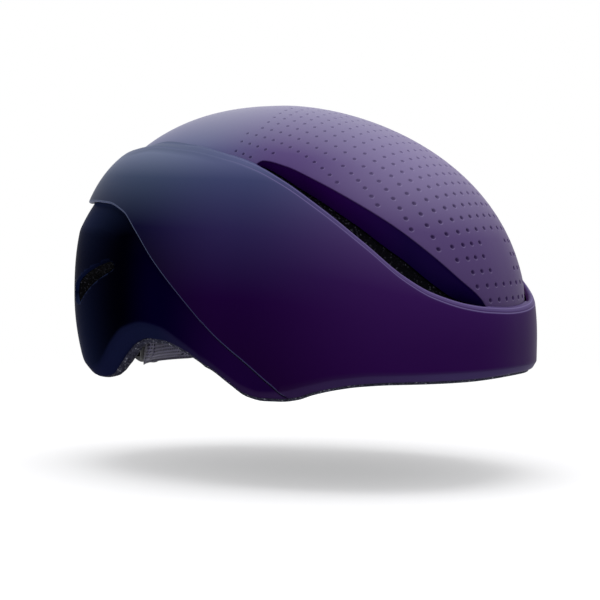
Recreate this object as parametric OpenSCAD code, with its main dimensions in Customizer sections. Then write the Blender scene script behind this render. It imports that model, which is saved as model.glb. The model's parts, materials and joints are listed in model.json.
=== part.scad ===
// Road helmet with a dimpled dome, a wrap-round lower shell, foam liner,
// comfort pads, dial-wound retention ring and a buckled strap set.
// Front of the helmet is -Y, the wearer's left is +X, and the side lobes stand on Z = 0.

/* [Outer shell] */
// Length over the wrap shell, front to back
helmet_length = 282; // [272:1:294]
// Width over the wrap shell
helmet_width = 203; // [196:1:212]
// Height from the side lobes to the top of the dome
helmet_height = 160.5; // [157:0.5:168]
// Widest section, behind the middle of the length
widest_back = 2.5; // [0:0.5:5]
// How far the dome stands inside the wrap shell at the side
dome_set_side = 6.5; // [6:0.5:8]
// How far the dome stands inside the wrap shell at the brow
dome_set_front = 3.8; // [3:0.2:8]
// How far the dome stands inside the wrap shell at the back
dome_set_rear = 2.5; // [1:0.5:4]
// How far the wrap shell's own crown lies below the dome's
wrap_drop = 11; // [10:0.5:12]
// Wall of the moulded shells
shell_wall = 2; // [1.5:0.1:2.4]
// Depth of the turned-in wall along the side vent
vent_depth = 7; // [5:0.5:8]
// Overhang of the wrap shell over the rear panel
rear_step = 3.5; // [1:0.5:5]
// Height of the bare foam line below the shells
foam_line = 3; // [2:0.5:5]

/* [Foam liner] */
// Foam and shell between the outside and the hollow, at brow and nape
foam_ends = 29; // [27:0.5:34]
// Foam and shell between the outside and the hollow, at each side
foam_sides = 21.5; // [20.5:0.5:25]
// Foam and shell over the top of the hollow
foam_crown = 24.5; // [22.5:0.5:30]
// Width of the liner's foot, from its outer edge to its inner one
foot_width = 12; // [10:0.5:14]
// Radius of the wide end of an exhaust port
port_radius = 7; // [5:0.5:8]

/* [Pads] */
// Thickness of a comfort pad
pad_thickness = 6; // [4:0.5:8]
// Width of a crown pad
crown_pad_width = 20; // [14:1:24]
// Diameter of a hook dot under a pad
hook_diameter = 12; // [8:1:14]

/* [Retention ring] */
// Gap between the hollow's wall and the belt
belt_inset = 8; // [7:0.5:10]
// Height of the belt
belt_height = 12; // [10:0.5:14]
// Thickness of the belt
belt_thickness = 1.6; // [1.2:0.1:2]
// Diameter of the dial
dial_diameter = 28; // [25:1:30]
// Depth of the dial
dial_depth = 8; // [6:0.5:9]
// Outside diameter of the pinion on the dial
pinion_diameter = 11; // [9:0.5:12]
// Teeth on the pinion
pinion_teeth = 12; // [10:1:14]
// Thickness of the pad on the cradle
cradle_pad_thickness = 5.5; // [4:0.5:7]

/* [Straps] */
// Width of the webbing
strap_width = 15; // [13:0.5:18]
// Thickness of the webbing
strap_thickness = 1.6; // [1.2:0.1:2]
// Length of each half of the buckle, along the strap
buckle_half = 20; // [18:1:24]
// Width of the buckle
buckle_width = 18; // [16:1:22]
// Thickness of the buckle
buckle_depth = 6; // [5:0.5:8]

/* [Hidden] */

// Clearance between pieces that sit against each other
seat = 0.3;
$fn = 48;

// Plan outline: superellipse powers of the wrap shell and the dome, front half and rear half
wrap_plan = [2.3, 1.92];
dome_plan = [2.26, 2.0];
// Heights of waists and edges are drawn for a helmet 160.5 high, and stretch with the real one
tall = helmet_height / 160.5;
function raise(curve) = [for (p = curve) [p[0], p[1] * tall]];
// Upright outline of each skin as [waist height, power up, power in] for front, rear and side
wrap_rise = [[28 * tall, 2.2, 2.1], [51 * tall, 2.5, 4.0], [40 * tall, 2.4, 2.8]];
dome_waist = 49 * tall;
dome_rise = [[20 * tall, 2.57, 1.72], [dome_waist, 2.1, 2.4], [dome_waist, 2.05, 2.0]];
// How fast the wrap shell tucks in below its waist, front, rear and side
wrap_tuck = [0.0008, 0.0045, 0.0015];
// The hollow is upright below this height and a half ellipsoid above it
cavity_waist = 50 * tall;
cavity_back = 6;
cavity_length = helmet_length - 2 * foam_ends;
cavity_width = helmet_width - 2 * foam_sides;
cavity_top = helmet_height - foam_crown;

wrap_half = [helmet_length / 2 + widest_back, helmet_length / 2 - widest_back, helmet_width / 2];
dome_back = 7;
dome_half = [helmet_length / 2 - dome_set_front + dome_back,
             helmet_length / 2 - dome_set_rear - dome_back, helmet_width / 2 - dome_set_side];
wrap_top = helmet_height - wrap_drop;
cavity_half = [cavity_length / 2, cavity_length / 2, cavity_width / 2];

// Edges of the shells, as [angle from the front, height] from brow to nape
seam = raise([[0, 49], [13, 50.5], [22, 53], [33, 59.5], [41, 69], [50, 86], [60, 104], [70, 118],
        [80, 127], [92, 133], [108, 137.5], [128, 139.5], [141, 137], [155, 135], [180, 134]]);
dome_edge = raise([[0, 43], [10.5, 45.5], [14, 55], [22, 67], [30, 80], [40, 95.5], [50, 108], [60, 118.5],
             [70, 126.5], [78, 129.5], [84, 123], [100, 127], [125, 130], [150, 126], [180, 124]]);
crease = raise([[72, 3], [76, 9.5], [81, 20], [89, 37.5], [97, 57], [105, 73.5], [113, 89.5],
          [120.5, 100], [130, 104.5], [140, 105], [150, 104.5], [165, 103], [180, 102.5]]);
rim = raise([[0, 11], [20, 10.3], [45, 10], [54, 9], [60, 7.2], [66, 4.2], [70, 1.2], [74, 0], [78, 0],
       [82, 2], [85.5, 8], [90, 17], [94, 21.5], [98.5, 25.3], [104, 28], [109, 28.3], [114.5, 25],
       [119.5, 18.5], [124, 12], [128.5, 7], [134, 5.2], [140, 5], [147, 7], [160, 13.5], [180, 19]]);
band_top = raise([[0, 16.5], [50, 15.5], [60, 13.5], [67, 10], [74, 6], [78, 5.5], [82, 8.5],
            [86, 15.5], [90, 23.5], [96, 31.5], [102, 38], [108, 40], [115.5, 36], [121.5, 27],
            [127, 17.5], [131.5, 12.5], [138, 10], [150, 13], [165, 19], [180, 23]]);
// Share of the vent's height that the dome's turned-in wall takes; foam fills the rest
wall_share = [[12, 0.8], [20, 0.77], [28, 0.6], [38, 0.43], [46, 0.46], [60, 0.55]];
step_in = [[72, 0], [85, 0.2], [105, 0.55], [125, 0.9], [150, 1], [180, 1]];

half_turn = concat([for (a = [0:6:60]) a], [for (a = [63:3:129]) a], [for (a = [135:7.5:180]) a]);
AROUND = concat(half_turn, [for (i = [len(half_turn) - 2:-1:1]) 360 - half_turn[i]]);

// Numbers and curves
function mix(a, b, t) = a + (b - a) * t;
function smooth(t) = let (u = min(max(t, 0), 1)) u * u * (3 - 2 * u);
function fold(a) = a > 180 ? 360 - a : a;
function rate(c, i) = (c[i + 1][1] - c[i][1]) / (c[i + 1][0] - c[i][0]);
function slope(c, i) = i == 0 || i == len(c) - 1 ? 0
    : rate(c, i - 1) * rate(c, i) <= 0 ? 0
    : 2 * rate(c, i - 1) * rate(c, i) / (rate(c, i - 1) + rate(c, i));
// Smooth curve through hand-set points, level at both ends
function at(c, a) = let (k = max([for (i = [0:len(c) - 2]) if (a >= c[i][0] || i == 0) i]),
        w = c[k + 1][0] - c[k][0], t = min(max((a - c[k][0]) / w, 0), 1))
    (1 + 2 * t) * (1 - t) * (1 - t) * c[k][1] + t * (1 - t) * (1 - t) * w * slope(c, k)
    + t * t * (3 - 2 * t) * c[k + 1][1] + t * t * (t - 1) * w * slope(c, k + 1);

// Outer skins: a superellipse in plan whose half lengths shrink with height
function power(v, n) = sign(v) * pow(abs(v), 2 / n);
function reach(z, half, top, rise, tuck) = z < rise[0] ? half - tuck * pow(rise[0] - z, 2)
    : half * pow(1 - pow(min((z - rise[0]) / (top - rise[0]), 1), rise[1]), 1 / rise[2]);
function skin(a, z, half, top, rise, tuck, plan, back) = let (
        i = cos(a) > 0 ? 0 : 1, n = plan[i])
    [reach(z, half[2], top, rise[2], tuck[2]) * power(sin(a), n),
     back - reach(z, half[i], top, rise[i], tuck[i]) * power(cos(a), n), z];
// Point of the wrap shell's skin, o inside it
function wrap_at(a, z, o = 0) = skin(a, min(z, wrap_top - o), [for (h = wrap_half) h - o],
    wrap_top - o, wrap_rise, wrap_tuck, wrap_plan, widest_back);
// Point of the dome's skin, o inside it
function dome_at(a, z, o = 0) = skin(a, min(z, helmet_height - o), [for (h = dome_half) h - o],
    helmet_height - o, dome_rise, [0, 0, 0], dome_plan, dome_back);
// Point of the hollow's wall, o inside the hollow
function cavity_at(a, z, o = 0) = let (
        h = max(z - cavity_waist, 0) / (cavity_top - o - cavity_waist), s = sqrt(max(1 - h * h, 0)))
    [(cavity_half[2] - o) * s * sin(a), cavity_back - (cavity_half[0] - o) * s * cos(a), z];
// Height of the hollow's roof over a point of the plan, o below it
function roof(x, y, o) = cavity_waist + (cavity_top - o - cavity_waist) * sqrt(max(0, 1
    - pow(x / (cavity_half[2] - o), 2) - pow((y - cavity_back) / (cavity_half[0] - o), 2)));

// Relief of the skins: the chamfered band along the rim, and the step under the crease
function band(b, z) = 0.55 * max(0, at(band_top, b) - z);
function step(b, z) = b < 72 ? 0
    : rear_step * at(step_in, b) * max(0, 1 - abs(z - at(crease, b)) / 16);
function wrap_low(b) = b <= 72 ? at(rim, b) + foam_line : at(crease, b);
function vent(b) = max(0, at(dome_edge, b) - at(seam, b));
function vent_drop(b) = at(wall_share, b) * vent(b) + 0.5;
function vent_in(b) = min(vent_depth, 0.6 * vent(b)) + 1;

// Skin through rings of points: in a loop, or closed at both ends on a point.
// Each four-sided patch is split along its shorter diagonal, so left and right mirror each other.
module loft(rings, loop = false, first = undef, last = undef) {
    n = len(rings);
    m = len(rings[0]);
    middle = function (r) [for (k = [0:2]) [for (p = r) p[k]] * [for (p = r) 1 / m]];
    points = concat([for (r = rings) each r], loop ? []
        : [first == undef ? middle(rings[0]) : first, last == undef ? middle(rings[n - 1]) : last]);
    quads = [for (i = [0:loop ? n - 1 : n - 2]) for (j = [0:m - 1]) let (
            a = i * m + j, b = i * m + (j + 1) % m,
            c = ((i + 1) % n) * m + (j + 1) % m, d = ((i + 1) % n) * m + j)
        each norm(points[a] - points[c]) < norm(points[b] - points[d]) + 0.001
            ? [[a, b, c], [a, c, d]] : [[a, b, d], [b, c, d]]];
    ends = loop ? [] : [for (j = [0:m - 1]) each [[n * m, (j + 1) % m, j],
        [n * m + 1, (n - 1) * m + j, (n - 1) * m + (j + 1) % m]]];
    polyhedron(points, concat(quads, ends), convexity = 8);
}

// Shells and liner
module crown_shell() color([0.60, 0.55, 0.72]) {
    levels = 9;
    low = [for (a = AROUND) at(dome_edge, fold(a))];
    rise = function (z, o, t) let (h = helmet_height - o - dome_waist, l = asin((z - dome_waist) / h))
        dome_waist + h * sin(mix(l, 90, t));
    loft(concat(
        [for (i = [levels - 1:-1:0]) [for (k = [0:len(AROUND) - 1])
            dome_at(AROUND[k], rise(low[k], 0, i / levels), 0)]],
        [[for (k = [0:len(AROUND) - 1]) let (b = fold(AROUND[k]))
            dome_at(AROUND[k], low[k] - vent_drop(b), vent_in(b))]],
        [[for (k = [0:len(AROUND) - 1]) let (b = fold(AROUND[k]))
            dome_at(AROUND[k], low[k] - vent_drop(b) + 1.2, vent_in(b) + shell_wall)]],
        [for (i = [0:levels - 1]) [for (k = [0:len(AROUND) - 1])
            dome_at(AROUND[k], rise(low[k] + 3, shell_wall, i / levels), shell_wall)]]),
        first = [0, dome_back, helmet_height], last = [0, dome_back, helmet_height - shell_wall]);
}

// Inner end of the wrap shell's lip: on the dome, or hanging free along the vent
function lip_end(a, under) = let (b = fold(a), top = at(seam, b) - under, s = smooth(vent(b) / 5))
    mix(dome_at(a, top + 0.5, -seat), wrap_at(a, top - 1, 4.5), s);
// Point on the lip's rounded edge: in from the wrap shell's skin, at most half way to the dome
function lip_edge(a, z, inset) = let (w = wrap_at(a, z), d = dome_at(a, z), gap = norm(w - d))
    mix(w, d, min(inset / max(gap, 0.1), 0.5));
// Point p of the wrap shell's inner side, moved out where the dome would touch it
function off_dome(a, p) = let (d = dome_at(a, p[2], -1.5 * seat))
    p[2] > at(dome_edge, fold(a)) - 3
        && norm([p[0], p[1] - dome_back]) < norm([d[0], d[1] - dome_back]) ? d : p;
module wrap_shell() color([0.42, 0.30, 0.58])
    loft([for (a = AROUND) let (b = fold(a), low = wrap_low(b), top = at(seam, b),
            kink = max(at(band_top, b), low + 1), brow = top - 2.5)
        concat(
            [wrap_at(a, low, band(b, low))],
            [for (i = [0:11]) wrap_at(a, mix(kink, brow, i / 11), 0)],
            [lip_edge(a, top - 0.7, 0.8), lip_edge(a, top, 2.4)],
            [lip_end(a, 0), lip_end(a, shell_wall)],
            [for (i = [0:9]) let (z = mix(top - 4.5, kink, i / 9))
                off_dome(a, wrap_at(a, z, shell_wall + step(b, z)))],
            [wrap_at(a, low, shell_wall + band(b, low) + step(b, low))])], loop = true);

// Exhaust ports: wide end low and near the middle, narrow end high and near the side
port_low = [0.296 * helmet_width, 53 * tall];
port_high = [0.41 * helmet_width, 69.5 * tall];
port_start = 0.21 * helmet_length;
module port_cutters() for (side = [-1, 1])
    hull() {
        translate([side * port_low[0], port_start, port_low[1]]) rotate([-90, 0, 0])
            cylinder(r = port_radius, h = helmet_length / 3, $fn = 24);
        translate([side * port_high[0], port_start, port_high[1]]) rotate([-90, 0, 0])
            cylinder(r = port_radius / 2, h = helmet_length / 3, $fn = 24);
    }

rear_turn = concat([72.3], [for (a = half_turn) if (a > 72) a]);
rear_around = concat(rear_turn, [for (i = [len(rear_turn) - 2:-1:0]) 360 - rear_turn[i]]);
module rear_shell() color([0.09, 0.11, 0.30]) difference() {
    loft([for (a = rear_around) let (b = fold(a), low = at(rim, b) + foam_line,
            top = max(at(crease, b) - 0.4, low + 0.6),
            kink = min(max(at(band_top, b), low + 0.2), top - 0.2))
        concat(
            [wrap_at(a, low, band(b, low) + step(b, low))],
            [for (i = [0:8]) let (z = mix(kink, top, i / 8)) wrap_at(a, z, band(b, z) + step(b, z))],
            [for (i = [0:5]) let (z = mix(top, kink, i / 5))
                wrap_at(a, z, shell_wall + band(b, z) + step(b, z))],
            [wrap_at(a, low, shell_wall + band(b, low) + step(b, low))])]);
    port_cutters();
}

function liner_top(b) = min(at(seam, b) - 5,
    at(dome_edge, b) - 0.6 - (vent(b) > 0 ? 0 : vent_drop(b)));
function liner_split(b, hi, lo) = b > 72 ? at(crease, b)
    : mix(mix(hi, lo, 0.5), lo + 3, smooth((b - 50) / 22));
module eps_liner() color([0.13, 0.13, 0.15]) {
    cover = shell_wall + 1.5 * seat;
    rise = function (z, t) let (h = helmet_height - cover - dome_waist, l = asin((z - dome_waist) / h))
        dome_waist + h * sin(mix(l, 90, t));
    inside = function (z, t) let (h = cavity_top - cavity_waist,
        l = z < cavity_waist ? (z - cavity_waist) : asin((z - cavity_waist) / h))
        mix(l, 90, t) < 0 ? cavity_waist + mix(l, 90, t) : cavity_waist + h * sin(mix(l, 90, t));
    bands = [for (a = AROUND) let (b = fold(a), edge = at(dome_edge, b), hi = liner_top(b),
            foot = at(rim, b), kink = max(at(band_top, b), foot + foam_line + 0.2),
            mid = liner_split(b, hi, kink))
        concat(
            [for (i = [8:-1:0]) dome_at(a, rise(edge + 3, i / 9), cover)],
            [dome_at(a, edge - vent_drop(b) + 1, vent_in(b) + cover + 0.9),
             dome_at(a, edge - vent_drop(b) - 0.6, vent_in(b) + 0.8),
             wrap_at(a, hi, mix(cover + 1.2, 8, smooth(vent(b) / 5)))],
            [for (i = [0:8]) let (z = i < 4 ? mix(hi, mid, i / 4) : mix(mid, kink, i / 4 - 1))
                wrap_at(a, z, cover + band(b, z) + step(b, z))],
            [let (z = foot + foam_line - seat) wrap_at(a, z, cover + band(b, z)),
             let (z = foot + foam_line - seat) wrap_at(a, z, 0.8 + band(b, z)),
             wrap_at(a, foot + 0.8, 1.2 + band(b, foot)), wrap_at(a, foot, 2.6 + band(b, foot)),
             wrap_at(a, foot, foot_width + band(b, foot))],
            [for (i = [0:11]) cavity_at(a, inside(foot + 16, i / 12))])];
    difference() {
        loft([for (k = [0:len(bands[0]) - 1]) [for (r = bands) r[k]]],
            first = [0, dome_back, helmet_height - cover], last = [0, cavity_back, cavity_top]);
        port_cutters();
    }
}

// Pads: a patch of the hollow's wall or roof, full in the middle and thin at its border.
// A hook dot holds each pad off the wall by its own thickness.
hook_thickness = 0.6;
// Pieces laid on the hollow's wall stand this far off it
wall_seat = 0.6;
pad_seat = wall_seat + hook_thickness + 0.1;
pad_edge = 0.8;
function swell(v) = pow(1 - pow(abs(v), 6), 0.4);
module wall_pad(a0, a1, low, high) {
    across = 8;
    level = function (end, j) mix((low + high) / 2, mix(low, high, j / across), end);
    loft([for (i = [0:12]) let (u = i / 12, a = mix(a0, a1, u),
            end = pow(1 - pow(abs(2 * u - 1), 8), 0.25) + 0.02)
        concat(
            [for (j = [0:across]) cavity_at(a, level(end, j), pad_seat)],
            [for (j = [across:-1:0]) cavity_at(a, level(end, j),
                pad_seat + pad_edge + (pad_thickness - pad_edge) * end * swell(2 * j / across - 1))])]);
}
module roof_pad(x, y0, y1, splay) {
    across = 6;
    loft([for (i = [0:10]) let (u = i / 10, y = mix(y1, y0, u), c = x + splay * (1 - u),
            end = pow(1 - pow(abs(2 * u - 1), 6), 0.3) + 0.02, w = crown_pad_width * end / 2)
        concat(
            [for (j = [0:across]) let (px = c + w * (2 * j / across - 1)) [px, y, roof(px, y, pad_seat)]],
            [for (j = [across:-1:0]) let (v = 2 * j / across - 1, px = c + w * v)
                [px, y, roof(px, y, pad_seat + pad_edge
                    + (pad_thickness - pad_edge) * end * swell(v))]])]);
}
// Pads lie between these angles from the front, and between these heights
brow_turn = 56;
side_turn = [98, 122];
brow_low = 30 * tall;
brow_high = 54 * tall;
side_low = 72 * tall;
side_high = 92 * tall;
pad_front = [-0.295, -0.09] * cavity_length;
pad_rear = [0.116, 0.357] * cavity_length;
pad_out = 0.1625 * cavity_width;
pad_splay = 2;
pad_grey = [0.72, 0.72, 0.74];
module brow_pad() color(pad_grey) wall_pad(-brow_turn, brow_turn, brow_low, brow_high);
module side_pad_left() color(pad_grey) wall_pad(side_turn[0], side_turn[1], side_low, side_high);
module side_pad_right() mirror([1, 0, 0]) side_pad_left();
module crown_pad_front_left() color(pad_grey)
    roof_pad(pad_out - pad_splay, pad_front[0], pad_front[1], 2 * pad_splay);
module crown_pad_front_right() mirror([1, 0, 0]) crown_pad_front_left();
module crown_pad_rear_left() color(pad_grey)
    roof_pad(pad_out + pad_splay, pad_rear[0], pad_rear[1], -2 * pad_splay);
module crown_pad_rear_right() mirror([1, 0, 0]) crown_pad_rear_left();

// Turns +Z of its children to the inward normal of the hollow at angle a and height z, o inside it
module on_wall(a, z, o) {
    h = max(z - cavity_waist, 0) / pow(cavity_top - cavity_waist, 2);
    s = sqrt(max(0, 1 - h * max(z - cavity_waist, 0)));
    normal = -[s * sin(a) / cavity_half[2], -s * cos(a) / cavity_half[0], h];
    p = cavity_at(a, z, o);
    translate(p) rotate([0, 0, atan2(normal[1], normal[0])])
        rotate([0, acos(normal[2] / norm(normal)), 0]) children();
}
module on_roof(x, y, o) let (z = roof(x, y, 0), h = (z - cavity_waist) / (cavity_top - cavity_waist),
        s = sqrt(max(0.01, 1 - h * h)))
    on_wall(atan2(x / cavity_half[2], -(y - cavity_back) / cavity_half[0]), z, o) children();
module hook() cylinder(d = hook_diameter, h = hook_thickness);
module hook_dots() color([0.2, 0.2, 0.22]) {
    for (a = [-45, -15, 15, 45]) on_wall(a, (brow_low + brow_high) / 2, wall_seat) hook();
    for (side = [-1, 1]) for (a = side_turn + [6, -6])
        on_wall(side * a, (side_low + side_high) / 2, wall_seat) hook();
    for (side = [-1, 1]) {
        for (y = [pad_front[0] + 12, pad_front[1] - 12]) on_roof(side * pad_out, y, wall_seat) hook();
        for (y = [pad_rear[0] + 14, pad_rear[1] - 14]) on_roof(side * pad_out, y, wall_seat) hook();
    }
}

// Retention ring. The belt's plan is drawn for a hollow 160 wide and fits itself to the real one.
temple_y = -18;
temple_z = 46;
pin_radius = 2;
stub_radius = 2.5;
stub_length = belt_inset - 0.6;
socket_depth = 2.8;
running = 0.05;
ear_radius = 4;
rear_wall = cavity_back + cavity_half[0];
dial_z = 24;
dial_back = rear_wall - 3.2;
dial_front = dial_back - dial_depth;
cover_thickness = 1.6;
cover_front = dial_front - seat - cover_thickness;
housing_room = 4.8;
housing_wall = 1.6;
housing_front = cover_front - housing_room - housing_wall;
housing_radius = dial_diameter / 2 + 2;
rack_y = cover_front - housing_room / 2;
rack_height = 5;
rack_z = pinion_diameter / 2 + seat + rack_height / 2;
temple_x = cavity_half[2] - belt_inset - 3;
function ring_at(p) = [p[0] * temple_x / 69, temple_y + (p[1] - temple_y) * (rack_y - temple_y) / 121.4];
// Belt stations: plan place, height of the middle, height of the belt, share of the rack's offset
belt = [[69, -13, 46, 12, 0], [71, 4, 45, 12, 0], [70, 28, 42, 12, 0], [64, 50, 38, 12, 0],
        [54, 70, 33, 12, 0], [42, 86, 29, 12, 0], [31, 97.8, 26, 11, 0.3], [22, 102.6, 25, 8, 0.75],
        [15, 103.4, 24, 5, 1], [-6, 103.4, 24, 5, 1]];
module belt_arm(side) {
    places = [for (b = belt) ring_at(b)];
    n = len(belt);
    rings = [for (i = [0:n - 1]) let (
            run = places[min(i + 1, n - 1)] - places[max(i - 1, 0)], t = run / norm(run),
            out = [t[1], -t[0]] * belt_thickness / 2, b = belt[i],
            z = b[2] + dial_z - 24 + side * b[4] * rack_z,
            h = min(b[3], belt_height) / 2, p = places[i])
        [[p[0] + out[0], p[1] + out[1], z - h], [p[0] + out[0], p[1] + out[1], z + h],
         [p[0] - out[0], p[1] - out[1], z + h], [p[0] - out[0], p[1] - out[1], z - h]]];
    loft(rings);
    for (up = [-1, 1]) translate([temple_x, temple_y, temple_z + up * (belt_height / 2 - 1.5) - 1.5])
        difference() {
            union() {
                cylinder(r = ear_radius, h = 3);
                translate([-belt_thickness / 2, 0, 0]) cube([belt_thickness, 7, 3]);
            }
            translate([0, 0, -1]) cylinder(r = pin_radius + running, h = 5);
        }
}
module belt_arm_left() color([0.14, 0.14, 0.16]) belt_arm(1);
module belt_arm_right() color([0.14, 0.14, 0.16]) mirror([1, 0, 0]) belt_arm(-1);
module temple_pin_left() color([0.3, 0.3, 0.33]) translate([temple_x, temple_y, temple_z]) {
    translate([0, 0, -belt_height / 2 - 1]) cylinder(r = pin_radius, h = belt_height + 2);
    rotate([0, 90, 0]) cylinder(r = stub_radius, h = stub_length);
}
module temple_pin_right() mirror([1, 0, 0]) temple_pin_left();
module temple_socket_left() color([0.16, 0.16, 0.18])
    translate([temple_x + stub_length - socket_depth, temple_y, temple_z])
        rotate([0, 90, 0]) difference() {
            cylinder(r = 8, h = socket_depth);
            translate([0, 0, -1]) cylinder(r = stub_radius + running, h = socket_depth + 2);
        }
module temple_socket_right() mirror([1, 0, 0]) temple_socket_left();

yoke_wall = 1.6;
yoke_radius = 52;
yoke_reach = 24;
yoke_half = 12;
yoke_back = housing_front - 0.2;
module saddle(outer, wall, half) intersection() {
    translate([0, yoke_back - yoke_radius, dial_z - 30]) difference() {
        cylinder(r = outer, h = 60, $fn = 96);
        translate([0, 0, -1]) cylinder(r = outer - wall, h = 62, $fn = 96);
    }
    translate([0, yoke_back, dial_z]) rotate([90, 0, 0]) linear_extrude(30) {
        for (side = [-1, 1]) translate([side * yoke_reach, 0]) circle(r = half);
        square([2 * yoke_reach, 2 * half], center = true);
    }
}
module cradle_yoke() color([0.14, 0.14, 0.16]) saddle(yoke_radius, yoke_wall, yoke_half);
module cradle_pad() color(pad_grey)
    saddle(yoke_radius - yoke_wall - seat, cradle_pad_thickness, yoke_half + 3);

module round_y(r, y0, y1) translate([0, y0, dial_z]) rotate([-90, 0, 0]) cylinder(r = r, h = y1 - y0);
// The belts run in and out through one window on each side of the housing
window = 2 * rack_z + rack_height + 1.6;
guide_z = dial_z + housing_radius + 1;
tongue = [10, 2];
module dial_housing() color([0.16, 0.16, 0.18]) {
    difference() {
        round_y(housing_radius, housing_front, cover_front);
        round_y(housing_radius - housing_wall, housing_front + housing_wall, cover_front + 1);
        translate([-30, housing_front + housing_wall, dial_z - window / 2])
            cube([60, housing_room + 1, window]);
    }
    translate([0, housing_front, guide_z]) difference() {
        translate([-tongue[0] / 2 - 2.4, 0, -2.5]) cube([tongue[0] + 4.8, 5, tongue[1] + 5]);
        translate([-tongue[0] / 2 - seat, -1, -seat]) cube([tongue[0] + 2 * seat, 7, tongue[1] + 2 * seat]);
    }
}
module dial_cover() color([0.16, 0.16, 0.18]) difference() {
    round_y(housing_radius, cover_front, cover_front + cover_thickness);
    round_y(stub_radius + running, cover_front - 1, dial_front + 1);
}
module dial_knob() color([0.2, 0.2, 0.22]) difference() {
    round_y(dial_diameter / 2, dial_front, dial_back);
    round_y(dial_diameter / 2 - 3, dial_back - 1.5, dial_back + 1);
    for (i = [0:23]) translate([0, dial_front - 1, dial_z]) rotate([-90, i * 15, 0])
        translate([dial_diameter / 2 + 0.6, 0, 0]) cylinder(r = 1.4, h = dial_depth + 2, $fn = 16);
}
module dial_pinion() color([0.75, 0.75, 0.78]) {
    gear_front = rack_y - 2;
    translate([0, gear_front, dial_z]) rotate([-90, 0, 0]) linear_extrude(4) difference() {
        circle(d = pinion_diameter);
        for (i = [0:pinion_teeth - 1]) rotate(i * 360 / pinion_teeth)
            translate([pinion_diameter / 2 + 0.2, 0]) circle(r = 0.9, $fn = 16);
    }
    round_y(stub_radius, gear_front + 4, dial_front);
}

hanger_y = rear_wall - 9.6;
hanger_top = 75;
hanger_slot = [46, 70];
peg_z = 60;
peg_plate_y = rear_wall - 5.8;
module height_strap() color([0.14, 0.14, 0.16]) {
    difference() {
        translate([-8, hanger_y, guide_z]) cube([16, 1.6, hanger_top - guide_z]);
        translate([-3.4, hanger_y - 1, hanger_slot[0]]) cube([6.8, 4, hanger_slot[1] - hanger_slot[0]]);
    }
    translate([-tongue[0] / 2, housing_front - 7, guide_z])
        cube([tongue[0], hanger_y - housing_front + 7.4, tongue[1]]);
}
module height_peg() color([0.16, 0.16, 0.18]) {
    translate([-9, peg_plate_y, peg_z - 8]) cube([18, 2, 16]);
    translate([-3, hanger_y - 2, peg_z - 2]) cube([6, peg_plate_y - hanger_y + 2.1, 4]);
}

// Straps: webbing laid along the hollow's wall, buckled and tucked up under the crown
strap_lift = 3.7;
module ribbon(path, ups) {
    n = len(path);
    loft([for (i = [0:n - 1]) let (
            run = path[min(i + 1, n - 1)] - path[max(i - 1, 0)], t = run / norm(run),
            across = cross(t, ups[i]), w = across / norm(across) * strap_width / 2,
            up = cross(w, t), h = up / norm(up) * strap_thickness / 2)
        [path[i] + w + h, path[i] - w + h, path[i] - w - h, path[i] + w - h]]);
}
module wall_strap(points) {
    path = [for (i = [0:12]) let (s = i / 12 * (len(points) - 1), k = min(floor(s), len(points) - 2),
            p = mix(points[k], points[k + 1], s - k)) cavity_at(p[0], p[1], strap_lift)];
    ribbon(path, [for (p = path) [-p[0], cavity_back - p[1], 0]]);
}
front_route = raise([[57, 32], [57.5, 41], [63, 53], [71, 61.5], [78, 65.5]]);
rear_route = raise([[118, 39], [117.3, 46], [111, 53.5], [105, 61], [98, 65.5]]);
module front_strap_left() color([0.12, 0.12, 0.13]) wall_strap(front_route);
module front_strap_right() mirror([1, 0, 0]) front_strap_left();
module rear_strap_left() color([0.12, 0.12, 0.13]) wall_strap(rear_route);
module rear_strap_right() mirror([1, 0, 0]) rear_strap_left();
anchor_size = [5, strap_width + 4, 5];
module strap_anchors() color([0.2, 0.2, 0.22]) for (side = [-1, 1]) for (r = [front_route, rear_route])
    on_wall(side * r[0][0], r[0][1] - anchor_size[0] / 2 - 1.5, 1.7)
        translate([-anchor_size[0] / 2, -anchor_size[1] / 2, 0]) cube(anchor_size);

divider_z = 74 * tall;
divider_y = 2;
divider_size = [22, 34, 3];
lever_size = [16, 20, 1.8];
divider_angle = acos((cavity_back - divider_y) / cavity_half[0]);
module at_divider() on_wall(divider_angle, divider_z, 2.2) children();
// The lever turns on a round edge, whose ends sit in two ears that stand on the divider
lever_axis = [lever_size[0] / 2, 0, divider_size[2] + seat + lever_size[2] / 2];
lever_ear = [3.4, 1.6, 3];
module lever_pin(r, half) translate(lever_axis) rotate([90, 0, 0])
    cylinder(r = r, h = 2 * half, center = true, $fn = 24);
module divider_left() color([0.16, 0.16, 0.18]) at_divider() difference() {
    union() {
        translate(-[divider_size[0], divider_size[1], 0] / 2) cube(divider_size);
        for (side = [-1, 1])
            translate([lever_axis[0] - lever_ear[0] / 2,
                side * (lever_size[1] / 2 + seat + lever_ear[1] / 2) - lever_ear[1] / 2,
                divider_size[2] - 0.1]) cube(lever_ear);
    }
    lever_pin(lever_size[2] / 2 + 0.06, lever_size[1] / 2 + seat + lever_ear[1] + 1);
}
module divider_right() mirror([1, 0, 0]) divider_left();
module cam_lever_left() color([0.22, 0.22, 0.24]) at_divider() {
    translate([-lever_size[0] / 2, -lever_size[1] / 2, divider_size[2] + seat]) cube(lever_size);
    lever_pin(lever_size[2] / 2, lever_size[1] / 2 + seat + lever_ear[1] - 0.3);
}
module cam_lever_right() mirror([1, 0, 0]) cam_lever_left();

buckle_z = roof(buckle_half + 2, divider_y, wall_seat) - 0.5 - buckle_depth;
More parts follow.
